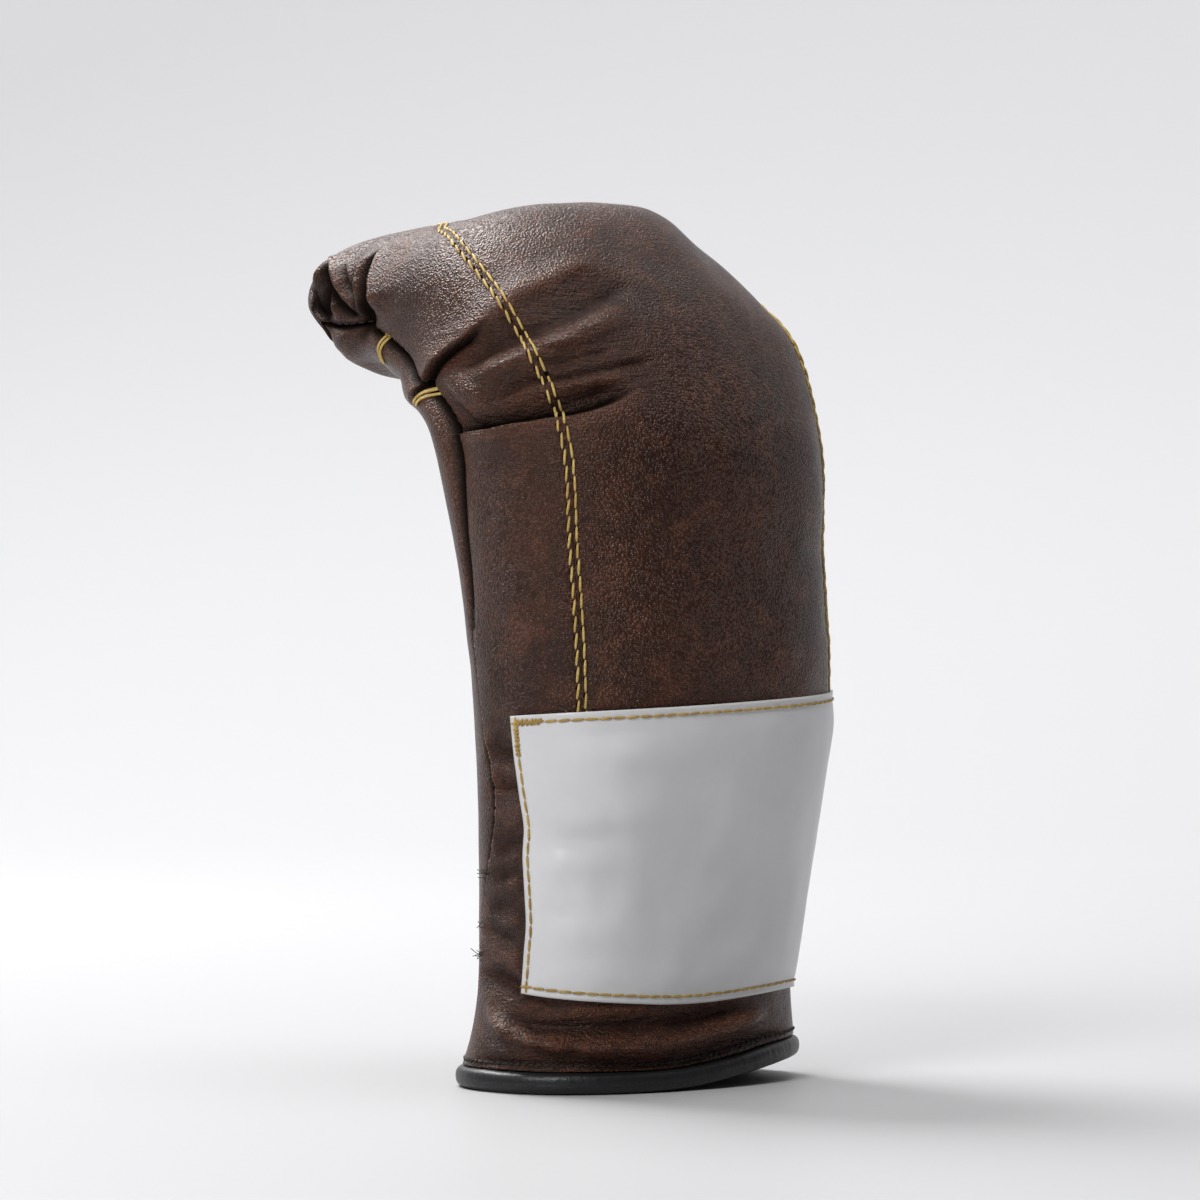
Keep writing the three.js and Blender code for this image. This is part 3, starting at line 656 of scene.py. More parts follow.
class Value:
    """A socket of a node tree. Arithmetic on it adds Math nodes."""

    def __init__(self, nodes, socket):
        self.nodes, self.socket = nodes, socket

    def math(self, operation, *values):
        return self.nodes.add("ShaderNodeMath", {"operation": operation}, dict(enumerate(values)))

    def __add__(self, other):
        return self.math("ADD", self, other)

    def __sub__(self, other):
        return self.math("SUBTRACT", self, other)

    def __rsub__(self, other):
        return self.math("SUBTRACT", other, self)

    def __mul__(self, other):
        return self.math("MULTIPLY", self, other)

    def __truediv__(self, other):
        return self.math("DIVIDE", self, other)

    __radd__, __rmul__ = __add__, __mul__

    def fract(self):
        return self.math("FRACT", self)

    def sqrt(self):
        return self.math("SQRT", self)

    def max(self, other):
        return self.math("MAXIMUM", self, other)

    def ramp(self, low, high):
        """0 below low, 1 above high, and smooth between; low may be the larger."""
        inputs = {"Value": self, "From Min": low, "From Max": high}
        return self.nodes.add("ShaderNodeMapRange", {"interpolation_type": "SMOOTHSTEP"}, inputs)


class Nodes:
    """Adds nodes to one tree."""

    def __init__(self, tree):
        self.tree = tree

    def add(self, kind, settings=None, inputs=None, output=0):
        node = self.tree.nodes.new(kind)
        for name, value in (settings or {}).items():
            setattr(node, name, value)
        for key, value in (inputs or {}).items():
            if isinstance(value, Value):
                self.tree.links.new(value.socket, node.inputs[key])
            else:
                node.inputs[key].default_value = value
        return Value(self, node.outputs[output]) if node.outputs else None

    def mix(self, factor, low, high):
        """Colour between two colours; a plain colour is three numbers."""
        full = lambda colour: colour if isinstance(colour, Value) else (*colour, 1)
        inputs = {0: factor, 6: full(low), 7: full(high)}
        return self.add("ShaderNodeMix", {"data_type": "RGBA"}, inputs, 2)

    def millimetres(self):
        point = self.add("ShaderNodeTexCoord", output="Object")
        return self.vector_math("SCALE", point, Scale=1000)

    def vector_math(self, operation, *values, **named):
        inputs = {**dict(enumerate(values)), **named}
        return self.add("ShaderNodeVectorMath", {"operation": operation}, inputs)

    def stretched(self, vector, x, y, z):
        return self.vector_math("MULTIPLY", vector, (x, y, z))

    def warped(self, vector, size, reach):
        """The vector pushed about by up to reach, so that a pattern on it grows uneven."""
        inputs = {"Vector": vector, "Scale": 1 / size, "Detail": 1.0}
        drift = self.add("ShaderNodeTexNoise", None, inputs, 1)
        centred = self.vector_math("SUBTRACT", drift, (0.5, 0.5, 0.5))
        return self.vector_math("ADD", vector, self.vector_math("SCALE", centred, Scale=2 * reach))

    def noise(self, vector, size, detail=2.0, rough=0.5, distortion=0.0):
        inputs = {"Vector": vector, "Scale": 1 / size, "Detail": detail, "Roughness": rough,
                  "Distortion": distortion}
        return self.add("ShaderNodeTexNoise", None, inputs)

    def cells(self, vector, size, feature="F1"):
        inputs = {"Vector": vector, "Scale": 1 / size}
        return self.add("ShaderNodeTexVoronoi", {"feature": feature}, inputs)

    def number(self, name):
        return self.add("ShaderNodeAttribute", {"attribute_name": name}, output="Fac")

    def vector(self, name):
        return self.add("ShaderNodeAttribute", {"attribute_name": name}, output="Vector")

    def parts(self, vector):
        first = self.add("ShaderNodeSeparateXYZ", None, {0: vector})
        return [Value(self, socket) for socket in first.socket.node.outputs]

    def bump(self, height, depth, normal=None):
        """Normal of a surface raised by height times depth, in millimetres."""
        inputs = {"Height": height, "Distance": depth / 1000, "Strength": 1.0}
        if normal is not None:
            inputs["Normal"] = normal
        return self.add("ShaderNodeBump", None, inputs)

    def shader(self, **sockets):
        """Principled shader; a name's underscores stand for spaces."""
        inputs = {name.replace("_", " "): value for name, value in sockets.items()}
        return self.add("ShaderNodeBsdfPrincipled", None, inputs)

    def surface(self, **sockets):
        self.add("ShaderNodeOutputMaterial", None, {"Surface": self.shader(**sockets)})

    def shaded_surface(self, shade, **sockets):
        """The shader, turning into a black that reflects nothing where shade is 1: painted shade."""
        black = self.shader(Base_Color=(*PAINTED_CREASE_SHADE, 1), Roughness=1.0, IOR=1.0)
        mixed = self.add("ShaderNodeMixShader", None, {0: shade, 1: self.shader(**sockets), 2: black})
        self.add("ShaderNodeOutputMaterial", None, {"Surface": mixed})


# Colours of the leather: painted shade in its creases and needle holes, and its own colour where it is cut
# or turned in
PAINTED_CREASE_SHADE = (0.006, 0.004, 0.003)
PAINTED_HOLE_SHADE = (0.004, 0.003, 0.002)
RAW_EDGE = (0.27, 0.165, 0.125)
LINING_BROWN = (0.12, 0.085, 0.065)


def material(name):
    made = bpy.data.materials.new(name)
    made.use_nodes = True
    made.node_tree.nodes.clear()
    return made, Nodes(made.node_tree)


def stitch_holes(nodes):
    """1 in the needle holes of both rows beside a seam of the back."""
    u, v, _ = nodes.parts(nodes.vector("seam"))
    rows = []
    for side, shift in ((ROW_OFFSET, 0.0), (-ROW_OFFSET, ROW_STAGGER)):
        across = (v - side) * HOLE_SLIMNESS
        run = ((u / STITCH_PITCH + shift).fract() - 0.5) * STITCH_PITCH
        rows.append((across * across + run * run).sqrt().ramp(HOLE_RADIUS, HOLE_MIDDLE))
    return rows[0].max(rows[1])


def leather(name, dark, middle, warm, rough):
    """Waxed leather: mottled brown, reddish where it is rubbed, with painted shade in its creases, hollows
    and needle holes.
    """
    made, nodes = material(name)
    point = nodes.millimetres()
    wear_and_hollow_shade, painted_shade, gather, raw, inside = (
        nodes.number(field) for field in ("wear_and_hollow_shade", "painted_shade", "gather", "raw", "inside"))
    hole_dent_and_shade = stitch_holes(nodes)
    bent = nodes.warped(point, 1.7, 0.25)
    along_fold = nodes.stretched(nodes.vector("flow"), 1 / 4.2, 1 / 0.85, 0)
    cloud = nodes.noise(point, 30, 4, 0.6).ramp(0.36, 0.66)
    patch = nodes.noise(point, 11, 6, 0.7, 0.8).ramp(0.46, 0.7)
    pebble = (1 - nodes.cells(bent, 0.72)).ramp(0.3, 0.95)
    crack = nodes.cells(bent, 1.25, "DISTANCE_TO_EDGE").ramp(0.0, 0.16)
    speck = nodes.noise(point, 0.55, 2, 0.7)
    streaks = nodes.noise(along_fold, 1.0, 4, 0.6)
    rubbed = wear_and_hollow_shade.ramp(0.1, 0.75)
    deep = tuple(0.38 * value for value in dark)

    colour = nodes.mix(cloud, dark, middle)
    colour = nodes.mix(patch * 0.6, colour, warm)
    colour = nodes.mix(rubbed * speck.ramp(0.35, 0.6) * 0.75, colour, warm)
    colour = nodes.mix(pebble.ramp(0.55, 0.1) * 0.62, colour, deep)
    colour = nodes.mix(crack.ramp(0.7, 0.0) * 0.45, colour, deep)
    colour = nodes.mix(streaks.ramp(0.52, 0.34) * (gather * 0.7 + 0.1), colour, deep)
    # Darker in the hollows between folds: partly a darker tone of the leather, partly painted shade
    colour = nodes.mix(wear_and_hollow_shade.ramp(-0.2, -0.95) * 0.5, colour, deep)
    # Painted shade: near black in the creases, along the seams and under lapping edges
    colour = nodes.mix(painted_shade * 0.9, colour, PAINTED_CREASE_SHADE)
    # Painted shade in the needle holes
    colour = nodes.mix(hole_dent_and_shade * 0.92, colour, PAINTED_HOLE_SHADE)
    colour = nodes.mix(raw, colour, RAW_EDGE)
    colour = nodes.mix(inside, colour, LINING_BROWN)

    normal = nodes.bump(pebble + crack * 0.2 + speck * 0.17, 0.25)
    normal = nodes.bump(streaks * (gather + 0.03), 1.2, normal)
    normal = nodes.bump(nodes.noise(point, 4.5, 3, 0.6), 0.22, normal)
    normal = nodes.bump(hole_dent_and_shade, -0.6, normal)
    roughness = nodes.noise(point, 7, 4, 0.65) * 0.16 + (1 - pebble) * 0.12 - rubbed * 0.05
    roughness = roughness + painted_shade * 0.4 + inside * 0.35 + rough
    # Creases and needle holes turn into a black that reflects nothing: painted shade
    shade = painted_shade.ramp(0.05, 0.85).max(hole_dent_and_shade) * 0.96
    nodes.shaded_surface(shade, Base_Color=colour, Roughness=roughness, Normal=normal, IOR=1.42,
                         Specular_Tint=(1.0, 0.84, 0.77, 1))
    return made


def coated_cloth():
    """Bare white coated cloth of the label: satin, with faint dents and soiled edges."""
    made, nodes = material("white coated cloth")
    point = nodes.millimetres()
    edge = nodes.number("edge")
    haze = nodes.noise(point, 28, 3, 0.5)
    weave = nodes.noise(point, 0.5, 1, 0.5)
    stain = nodes.noise(point, 3.2, 4, 0.7).ramp(0.62, 0.8)
    colour = nodes.mix(haze.ramp(0.35, 0.7), (0.70, 0.70, 0.715), (0.75, 0.75, 0.76))
    colour = nodes.mix(stain * 0.25, colour, (0.6, 0.59, 0.58))
    colour = nodes.mix(edge * 0.5, colour, (0.62, 0.60, 0.58))
    normal = nodes.bump(nodes.noise(point, 9, 3, 0.5), 0.22)
    normal = nodes.bump(weave, 0.015, normal)
    nodes.surface(Base_Color=colour, Roughness=haze * 0.1 + 0.3, Normal=normal, IOR=1.5)
    return made


def black_binding():
    """Satin black leather with faint creases across it."""
    made, nodes = material("black binding")
    point = nodes.millimetres()
    cross = nodes.noise(nodes.stretched(nodes.vector("flow"), 1 / 1.6, 1 / 5, 0), 1.0, 3, 0.55)
    dust = nodes.noise(point, 1.1, 3, 0.6)
    colour = nodes.mix(dust.ramp(0.55, 0.75) * 0.4, (0.012, 0.0125, 0.014), (0.03, 0.03, 0.033))
    normal = nodes.bump(cross, 0.28)
    normal = nodes.bump(nodes.cells(point, 0.7), 0.03, normal)
    nodes.surface(Base_Color=colour, Roughness=dust * 0.15 + 0.33, Normal=normal, IOR=1.48)
    return made


def waxed_thread(name, light, deep, rough=0.42):
    """Waxed thread, darker between its plies."""
    made, nodes = material(name)
    point = nodes.millimetres()
    ply = nodes.noise(point, 0.45, 2, 0.6)
    tone = nodes.noise(point, 6, 2, 0.5).ramp(0.3, 0.7)
    colour = nodes.mix(tone, light, deep)
    colour = nodes.mix(ply.ramp(0.55, 0.3) * 0.6, colour, tuple(0.35 * value for value in deep))
    nodes.surface(Base_Color=colour, Roughness=ply * 0.2 + rough, Normal=nodes.bump(ply, 0.12), IOR=1.5)
    return made


back_leather = leather(
    "back leather", (0.045, 0.0165, 0.01), (0.085, 0.031, 0.0175), (0.21, 0.075, 0.038), 0.15)
palm_leather = leather(
    "palm leather", (0.053, 0.022, 0.0145), (0.094, 0.04, 0.026), (0.2, 0.077, 0.045), 0.16)
label_cloth = coated_cloth()
binding_leather = black_binding()
gold_thread = waxed_thread("golden thread", (0.74, 0.53, 0.17), (0.52, 0.34, 0.085))
mustard_thread = waxed_thread("mustard thread", (0.58, 0.39, 0.10), (0.38, 0.235, 0.05))
dark_thread = waxed_thread("dark thread", (0.012, 0.009, 0.008), (0.02, 0.014, 0.011), 0.6)


def frame_shift():
    """Way from the glove's own axis to the frame, whose origin is under the middle of the model."""
    low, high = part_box("rim_binding")
    cut = outline(RIM_AT, 0.0)
    half = RIM_THICKNESS / 2
    own = [float(cut["middle"][0]) + sign * float(cut["depth"]) - LEATHER / 2 * sign + half * sign
           for sign in (-1, 1)]
    return ((low.x + high.x) / 2 - sum(own) / 2000, 0.0, 0.0)


SHIFT = np.array(frame_shift())


def in_frame(points):
    """Points in metres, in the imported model's frame."""
    return np.asarray(points, float).reshape(-1, 3) / 1000 + SHIFT


def put(name, data):
    """A new object of the scene, at the origin."""
    made = bpy.data.objects.new(name, data)
    bpy.context.scene.collection.objects.link(made)
    return made


def make_piece(name, points, faces, finish, fields=None, flat=()):
    """Mesh object at the origin from points in millimetres, with its surface fields."""
    mesh = bpy.data.meshes.new(name)
    mesh.from_pydata(in_frame(points).tolist(), [], [list(face) for face in faces])
    mesh.materials.append(finish)
    mesh.polygons.foreach_set("use_smooth", [True] * len(mesh.polygons))
    if len(flat):
        mesh.polygons.foreach_set("use_smooth", ~np.asarray(flat, bool))
    for key, values in (fields or {}).items():
        values = np.asarray(values, np.float32)
        kind = "FLOAT_VECTOR" if values.ndim == 2 else "FLOAT"
        layer = mesh.attributes.new(key, kind, "POINT")
        layer.data.foreach_set("vector" if values.ndim == 2 else "value", values.ravel())
    mesh.update()
    return put(name, mesh)


def quads(index):
    """Faces of an open grid."""
    return np.stack([index[:-1, :-1], index[:-1, 1:], index[1:, 1:], index[1:, :-1]], -1).reshape(-1, 4)


def ring_quads(index):
    """Faces between the rows of a grid whose columns run round and meet."""
    beside = np.roll(index, -1, 1)
    return np.stack([index[:-1], beside[:-1], beside[1:], index[1:]], -1).reshape(-1, 4)


def shell_faces(rows, columns, step):
    """Faces of a closed shell, whose inner grid has every step-th point, and which are its walls."""
    index = np.arange(rows * columns).reshape(rows, columns)
    inner_rows, inner_columns = (rows - 1) // step + 1, (columns - 1) // step + 1
    inner = rows * columns + np.arange(inner_rows * inner_columns).reshape(inner_rows, inner_columns)
    faces = quads(index).tolist() + quads(inner)[:, ::-1].tolist()
    count = len(faces)
    for k in range(inner_rows - 1):
        part = slice(k * step, (k + 1) * step + 1)
        faces.append([*index[part, 0], inner[k + 1, 0], inner[k, 0]])
        faces.append([inner[k, -1], inner[k + 1, -1], *index[part, -1][::-1]])
    for k in range(inner_columns - 1):
        part = slice(k * step, (k + 1) * step + 1)
        faces.append([inner[0, k], inner[0, k + 1], *index[0, part][::-1]])
        faces.append([*index[-1, part], inner[-1, k + 1], inner[-1, k]])
    return faces, np.arange(len(faces)) >= count


def closed_shell(name, outer, inner, finish, fields, step=1):
    """fields are over the outer grid; the inner one takes them too, marked as inside."""
    rows, columns = outer.shape[:2]
    faces, flat = shell_faces(rows, columns, step)
    points = np.concatenate([outer.reshape(-1, 3), inner.reshape(-1, 3)])
    inner_count = inner.shape[0] * inner.shape[1]
    both = {}
    for key, field in fields.items():
        parts = [field.reshape(rows * columns, -1), field[::step, ::step].reshape(inner_count, -1)]
        both[key] = np.concatenate(parts).squeeze()
    both["inside"] = np.repeat([0.0, 1.0], [rows * columns, inner_count])
    return make_piece(name, points, faces, finish, both, flat)


def own(piece, slot, *nodes):
    """The piece rides with the glove and stands for its nodes, which are hidden. slot is not used."""
    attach(piece, "root")
    if nodes:
        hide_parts(*nodes)
    return piece


def panel_fields(angle):
    """What the leather's finish reads, over a panel's grid."""
    pair = lambda first, second: np.stack([sample(first, angle), sample(second, angle), 0 * angle], -1)
    fields = {name: sample(getattr(surface, name), angle) for name in ("wear_and_hollow_shade", "painted_shade", "gather")}
    fields["flow"] = pair(surface.round, surface.along)
    fields["seam"] = pair(surface.seam_run, surface.seam_gap)
    return fields


NEAR_BACK, FAR_BACK = (seam_angle("backSeam", side, surface.stations) for side in (-1, 1))
NEAR_PALM, FAR_PALM = (seam_angle("palmSeam", side, surface.stations) for side in (-1, 1))
PANELS = {
    "back_panel": (NEAR_BACK, FAR_BACK, BACK_COLUMNS, back_leather, "back_leather"),
    "far_gusset": (FAR_BACK, FAR_PALM, GUSSET_COLUMNS, back_leather, "back_leather"),
    "palm_panel": (FAR_PALM, 360 + NEAR_PALM, PALM_COLUMNS, palm_leather, "palm_leather"),
    "near_gusset": (NEAR_PALM, NEAR_BACK, GUSSET_COLUMNS, back_leather, "back_leather"),
}


def panel_angles(start, end, columns):
    sewn = smooth((surface.stations - SEWN_FROM) / SEWN_FADE)
    half_gap = PANEL_GAP / 2 * 360 / surface.girth * (0.1 + 0.9 * sewn)
    share = np.linspace(0, 1, columns)
    return (start + half_gap)[:, None] + (end - start - 2 * half_gap)[:, None] * share


def panel(name):
    """One sewn panel: its outer skin with every fold, and its lining."""
    start, end, columns, finish, slot = PANELS[name]
    angle = panel_angles(start, end, columns)
    at = np.broadcast_to(surface.stations[:, None], angle.shape)
    relief = sample(surface.relief, angle)
    fields = {**panel_fields(angle), "raw": raw_edge(name, angle)}
    coarse = (slice(None, None, LINING_STEP), slice(None, None, LINING_STEP))
    inner = lining(at[coarse], angle[coarse], sample(surface.under, angle)[coarse])
    outer = skin(at, angle, relief * tip_size(at))
    piece = closed_shell(f"{name}_skin", outer, inner, finish, fields, LINING_STEP)
    return own(piece, slot, name)


def raw_edge(name, angle):
    """1 along the cut edge of a gusset, where it laps over the palm below its stitched seam."""
    raw = np.zeros(angle.shape)
    cut_open = 1 - smooth((surface.stations[:, None] - RAW_UNTIL) / (RAW_GONE - RAW_UNTIL))
    if name == "near_gusset":
        raw[:, :2] = cut_open
    if name == "far_gusset":
        raw[:, -2:] = cut_open
    return raw


def label():
    """Bare label over the back of the wrist, sewn down round its edge."""
    rows, columns = 90, 140
    angles = np.linspace(0, 170, 341)
    middle = float(at_height(LABEL_BOTTOM + LABEL_HEIGHT / 2))
    half_angle = np.interp(LABEL_WIDTH / 2, arc_lengths(skin(middle, angles), 0), angles)
    up, across = np.meshgrid(np.linspace(0, 1, rows), np.linspace(-1, 1, columns), indexing="ij")
    flare = LABEL_FLARE * across * (2 * up - 1)
    bow = LABEL_BOW * across**2 * (1 - up)
    at = at_height(LABEL_BOTTOM + LABEL_HEIGHT * up + flare + bow)
    near_edge = blurred(np.interp(up, LABEL_NEAR_EDGE["up"], LABEL_NEAR_EDGE["angle"]), 2)
    angle = across * np.where(across < 0, near_edge, 2 * half_angle - near_edge.mean())
    inset = np.minimum(LABEL_WIDTH / 2 * (1 - np.abs(across)), LABEL_HEIGHT * np.minimum(up, 1 - up))
    sewn = np.exp(-(((inset - LABEL_INSET) / 1.3) ** 2))
    dent = 0.5 * noise(across * 4 + 9, up * 4, 21) + 0.25 * noise(across * 9, up * 8, 22)
    free = smooth((inset - 1) / 8)
    lift = LABEL_SEAT + 0.45 * free + dent * free - 0.22 * sewn
    for spot_across, spot_up, wide, tall, depth in LABEL_DENTS:
        away = ((across - spot_across) / wide) ** 2 + ((up - spot_up) / tall) ** 2
        lift -= depth * np.exp(-away) * free
    lift = np.maximum(lift, 0.05)
    soiled_width = 1.2
    fields = {"edge": np.clip(1 - inset / soiled_width, 0, 1)}
    piece = closed_shell("label_cloth", skin(at, angle, lift + LABEL_THICKNESS), skin(at, angle, lift),
                         label_cloth, fields)
    own(piece, "label_vinyl", "label_patch")
    return piece, {"at": at, "angle": angle, "lift": lift}


# The label's near edge: share up the label and angle round from the back
LABEL_NEAR_EDGE = table(
    "up angle",
    [(0, 75.6), (0.14, 75), (0.25, 74), (0.36, 75.4), (0.5, 77.6), (0.6, 77), (0.7, 80), (0.86, 83.4),
     (1, 85)],
)

# Soft dents of the label, and bulges, whose depth is below 0: place across and up it, how wide and
# tall as shares of it, and depth in millimetres
LABEL_DENTS = (
    (-0.74, 0.55, 0.17, 0.04, 0.75),
    (-0.72, 0.47, 0.2, 0.05, -1.5),
    (-0.66, 0.64, 0.24, 0.06, -1.3),
    (-0.78, 0.31, 0.14, 0.04, 0.7),
    (-0.72, 0.23, 0.16, 0.06, -1.1),
    (-0.52, 0.93, 0.14, 0.04, 0.7),
    (-0.5, 0.84, 0.2, 0.06, -1.1),
    (0.2, 0.16, 0.3, 0.07, -0.7),
)


def binding():
    """Band folded over the lower edge, with the marks of its folding."""
    steps, sides = 260, 20
    ring = np.linspace(-180, 180, steps, endpoint=False)
    cut = outline(RIM_AT, ring)
    c, q = outward(cut, cut["depth"], cut["half"])
    middle = skin(RIM_AT, ring, -LEATHER / 2)
    normal = np.stack([cut["axis"][..., 0] * c, q, 0 * q], -1)
    run = arc_lengths(middle, 0)
    fat = 1 + 0.03 * noise(run / 9, run * 0, 31) + 0.02 * noise(run / 3, run * 0 + 5, 32)
    section = np.linspace(0, 2 * math.pi, sides, endpoint=False)
    power = 0.78
    out = np.sign(np.cos(section)) * np.abs(np.cos(section)) ** power * RIM_THICKNESS / 2
    rise = (np.sign(np.sin(section)) * np.abs(np.sin(section)) ** power + 1) * RIM_HEIGHT / 2
    points = middle[:, None, :] + normal[:, None, :] * (out[None, :, None] * fat[:, None, None])
    points[..., 2] = rise[None, :] * (0.5 + 0.5 * fat[:, None]) + rim_lift(RIM_AT, ring)[:, None]
    index = np.arange(steps * sides).reshape(steps, sides)
    ahead, beside = np.roll(index, -1, 0), np.roll(index, -1, 1)
    faces = np.stack([index, ahead, np.roll(ahead, -1, 1), beside], -1).reshape(-1, 4)
    flow = np.stack(np.broadcast_arrays(run[:, None], 3.2 * section[None, :], 0 * run[:, None]), -1)
    piece = make_piece("folded_binding", points, faces, binding_leather, {"flow": flow.reshape(-1, 3)})
    return own(piece, "binding", "rim_binding")


def tube(points, radius, sides=8):
    """Points and faces of a closed tube along a path."""
    points = np.asarray(points, float)
    ahead = np.gradient(points, axis=0)
    ahead /= np.linalg.norm(ahead, axis=1, keepdims=True)
    guide = np.array([0.3, 0.2, 0.93])
    side = np.cross(ahead, guide)
    side /= np.linalg.norm(side, axis=1, keepdims=True)
    over = np.cross(ahead, side)
    turnings = np.linspace(0, 2 * math.pi, sides, endpoint=False)
    radius = np.broadcast_to(radius, len(points))[:, None, None]
    rings = (points[:, None] + radius * (side[:, None] * np.cos(turnings)[None, :, None]
             + over[:, None] * np.sin(turnings)[None, :, None]))
    index = np.arange(len(points) * sides).reshape(len(points), sides)
    faces = ring_quads(index).tolist() + [index[0, ::-1].tolist(), index[-1].tolist()]
    return rings.reshape(-1, 3), faces


def tubes(name, paths, radius, finish, sides=8):
    """Several closed tubes as one piece."""
    points, faces, count = [], [], 0
    for path in paths:
        own_points, own_faces = tube(path, radius, sides)
        points.append(own_points)
        faces += [[index + count for index in face] for face in own_faces]
        count += len(own_points)
    return make_piece(name, np.concatenate(points), faces, finish)


def stitch_tree():
    """Stitches in a row along a line of points, each lying in the leather at both ends."""
    tree = bpy.data.node_groups.new("stitches along a seam", "GeometryNodeTree")
    numbers = ("Pitch", "Length", "Thickness", "Rise", "Slant", "Wander")
    kinds = {"Geometry": "Geometry", "Material": "Material", "Seed": "Int"}
    kinds.update(dict.fromkeys(numbers, "Float"))
    for name, kind in kinds.items():
        tree.interface.new_socket(name, in_out="INPUT", socket_type="NodeSocket" + kind)
    tree.interface.new_socket("Geometry", in_out="OUTPUT", socket_type="NodeSocketGeometry")
    nodes = Nodes(tree)
    given = tree.nodes.new("NodeGroupInput")
    size = {name: Value(nodes, given.outputs[name]) for name in kinds}

    line = nodes.add("GeometryNodeMeshToCurve", None, {"Mesh": size["Geometry"]})
    line = nodes.add("GeometryNodeResampleCurve", {"mode": "LENGTH"},
                     {"Curve": line, "Length": size["Pitch"]})
    ball = nodes.add("GeometryNodeMeshUVSphere", None, {"Segments": 8, "Rings": 7, "Radius": 1.0})
    x, y, z = nodes.parts(nodes.add("GeometryNodeInputPosition"))
    fullness = (z * z + 1).sqrt() * size["Thickness"] * 0.5
    arch = (1 - z * z) * size["Rise"]
    shaped = nodes.add("ShaderNodeCombineXYZ", None,
                       {0: x * fullness + arch, 1: y * fullness * 1.12, 2: z * size["Length"] * 0.5})
    stitch = nodes.add("GeometryNodeSetPosition", None, {"Geometry": ball, "Position": shaped})
    stitch = nodes.add("GeometryNodeSetShadeSmooth", None, {0: stitch})

    out = nodes.add("GeometryNodeInputNamedAttribute", {"data_type": "FLOAT_VECTOR"}, {"Name": "out"})
    ahead = nodes.add("FunctionNodeAlignRotationToVector", {"axis": "Z"},
                      {"Vector": nodes.add("GeometryNodeInputTangent")})
    facing = nodes.add("FunctionNodeAlignRotationToVector", {"axis": "X", "pivot_axis": "Z"},
                       {"Rotation": ahead, "Vector": out})
    wander = nodes.add("FunctionNodeRandomValue", {"data_type": "FLOAT"},
                       {2: size["Wander"] * -1, 3: size["Wander"], "Seed": size["Seed"]}, 1)
    swing = nodes.add("ShaderNodeCombineXYZ", None, {0: size["Slant"] + wander})
    swing = nodes.add("FunctionNodeEulerToRotation", None, {0: swing})
    turned = nodes.add("FunctionNodeRotateRotation", {"rotation_space": "LOCAL"},
                       {"Rotation": facing, "Rotate By": swing})
    row = nodes.add("GeometryNodeInstanceOnPoints", None,
                    {"Points": line, "Instance": stitch, "Rotation": turned})
    row = nodes.add("GeometryNodeRealizeInstances", None, {"Geometry": row})
    row = nodes.add("GeometryNodeSetMaterial", None, {"Geometry": row, "Material": size["Material"]})
    nodes.add("NodeGroupOutput", None, {0: row})
    return tree


STITCHES = stitch_tree()


def stitch_rows(name, paths, outs, finish, slot, **sizes):
    """One piece of stitches in rows, each path and its outward directions in millimetres."""
    points = in_frame(np.concatenate(paths))
    edges, count = [], 0
    for path in paths:
        edges += [(count + k, count + k + 1) for k in range(len(path) - 1)]
        count += len(path)
    mesh = bpy.data.meshes.new(name)
    mesh.from_pydata(points.tolist(), edges, [])
    layer = mesh.attributes.new("out", "FLOAT_VECTOR", "POINT")
    layer.data.foreach_set("vector", np.concatenate(outs).astype(np.float32).ravel())
    piece = put(name, mesh)
    modifier = piece.modifiers.new("stitches", "NODES")
    modifier.node_group = STITCHES
    ids = {item.name: item.identifier for item in STITCHES.interface.items_tree if item.in_out == "INPUT"}
    for key, value in sizes.items():
        is_length = key in ("pitch", "length", "thickness", "rise")
        modifier[ids[key.title()]] = value / 1000 if is_length else value
    modifier[ids["Material"]] = finish
    graph = bpy.context.evaluated_depsgraph_get()
    piece.data = bpy.data.meshes.new_from_object(piece.evaluated_get(graph))
    piece.modifiers.clear()
    piece.data.materials.clear()
    piece.data.materials.append(finish)
    return own(piece, slot)


def seam_path(seam, side, offset, start, end, lift):
    """Path beside a panel seam, offset round the glove, with its outward directions."""
    step = 0.6
    total = np.interp([start, end], surface.stations, surface.along[:, len(surface.angles) // 2])
    at = np.linspace(start, end, int((total[1] - total[0]) / step))
    angle = seam_angle(seam, side, at)
    ahead, behind = (surface.spot(at, angle + nudge, surface.round) for nudge in (1, -1))
    per_degree = (ahead - behind) / 2
    return on_skin(at, angle + side * offset / per_degree, lift)


def on_skin(at, angle, lift):
    """Points on the folded leather, and the outward directions there."""
    raised = surface.spot(at, angle, surface.relief) * tip_size(at)
    return skin(at, angle, raised + lift), skin_normal(at, angle)


def double_rows():
    """The golden double rows on both sides of the back, from under the label to the fingertips."""
    start = float(at_height(LABEL_BOTTOM + LABEL_HEIGHT * 0.93))
    end = 0.985
    for name, side in (("near_stitching", -1), ("far_stitching", 1)):
        for row, (offset, seed, slant) in enumerate(((ROW_OFFSET, 5, 0.16), (-ROW_OFFSET, 8, 0.07))):
            shift = row * ROW_STAGGER * STITCH_PITCH / SEAM_RUN
            path, outs = seam_path("backSeam", side, offset, start + shift, end, 0.05)
            stitch_rows(f"{name}_{row + 1}", [path], [outs], gold_thread, "thread", pitch=STITCH_PITCH,
                        length=STITCH_LENGTH, thickness=THREAD, rise=0.22, slant=slant * side, wander=0.05,
                        seed=seed)


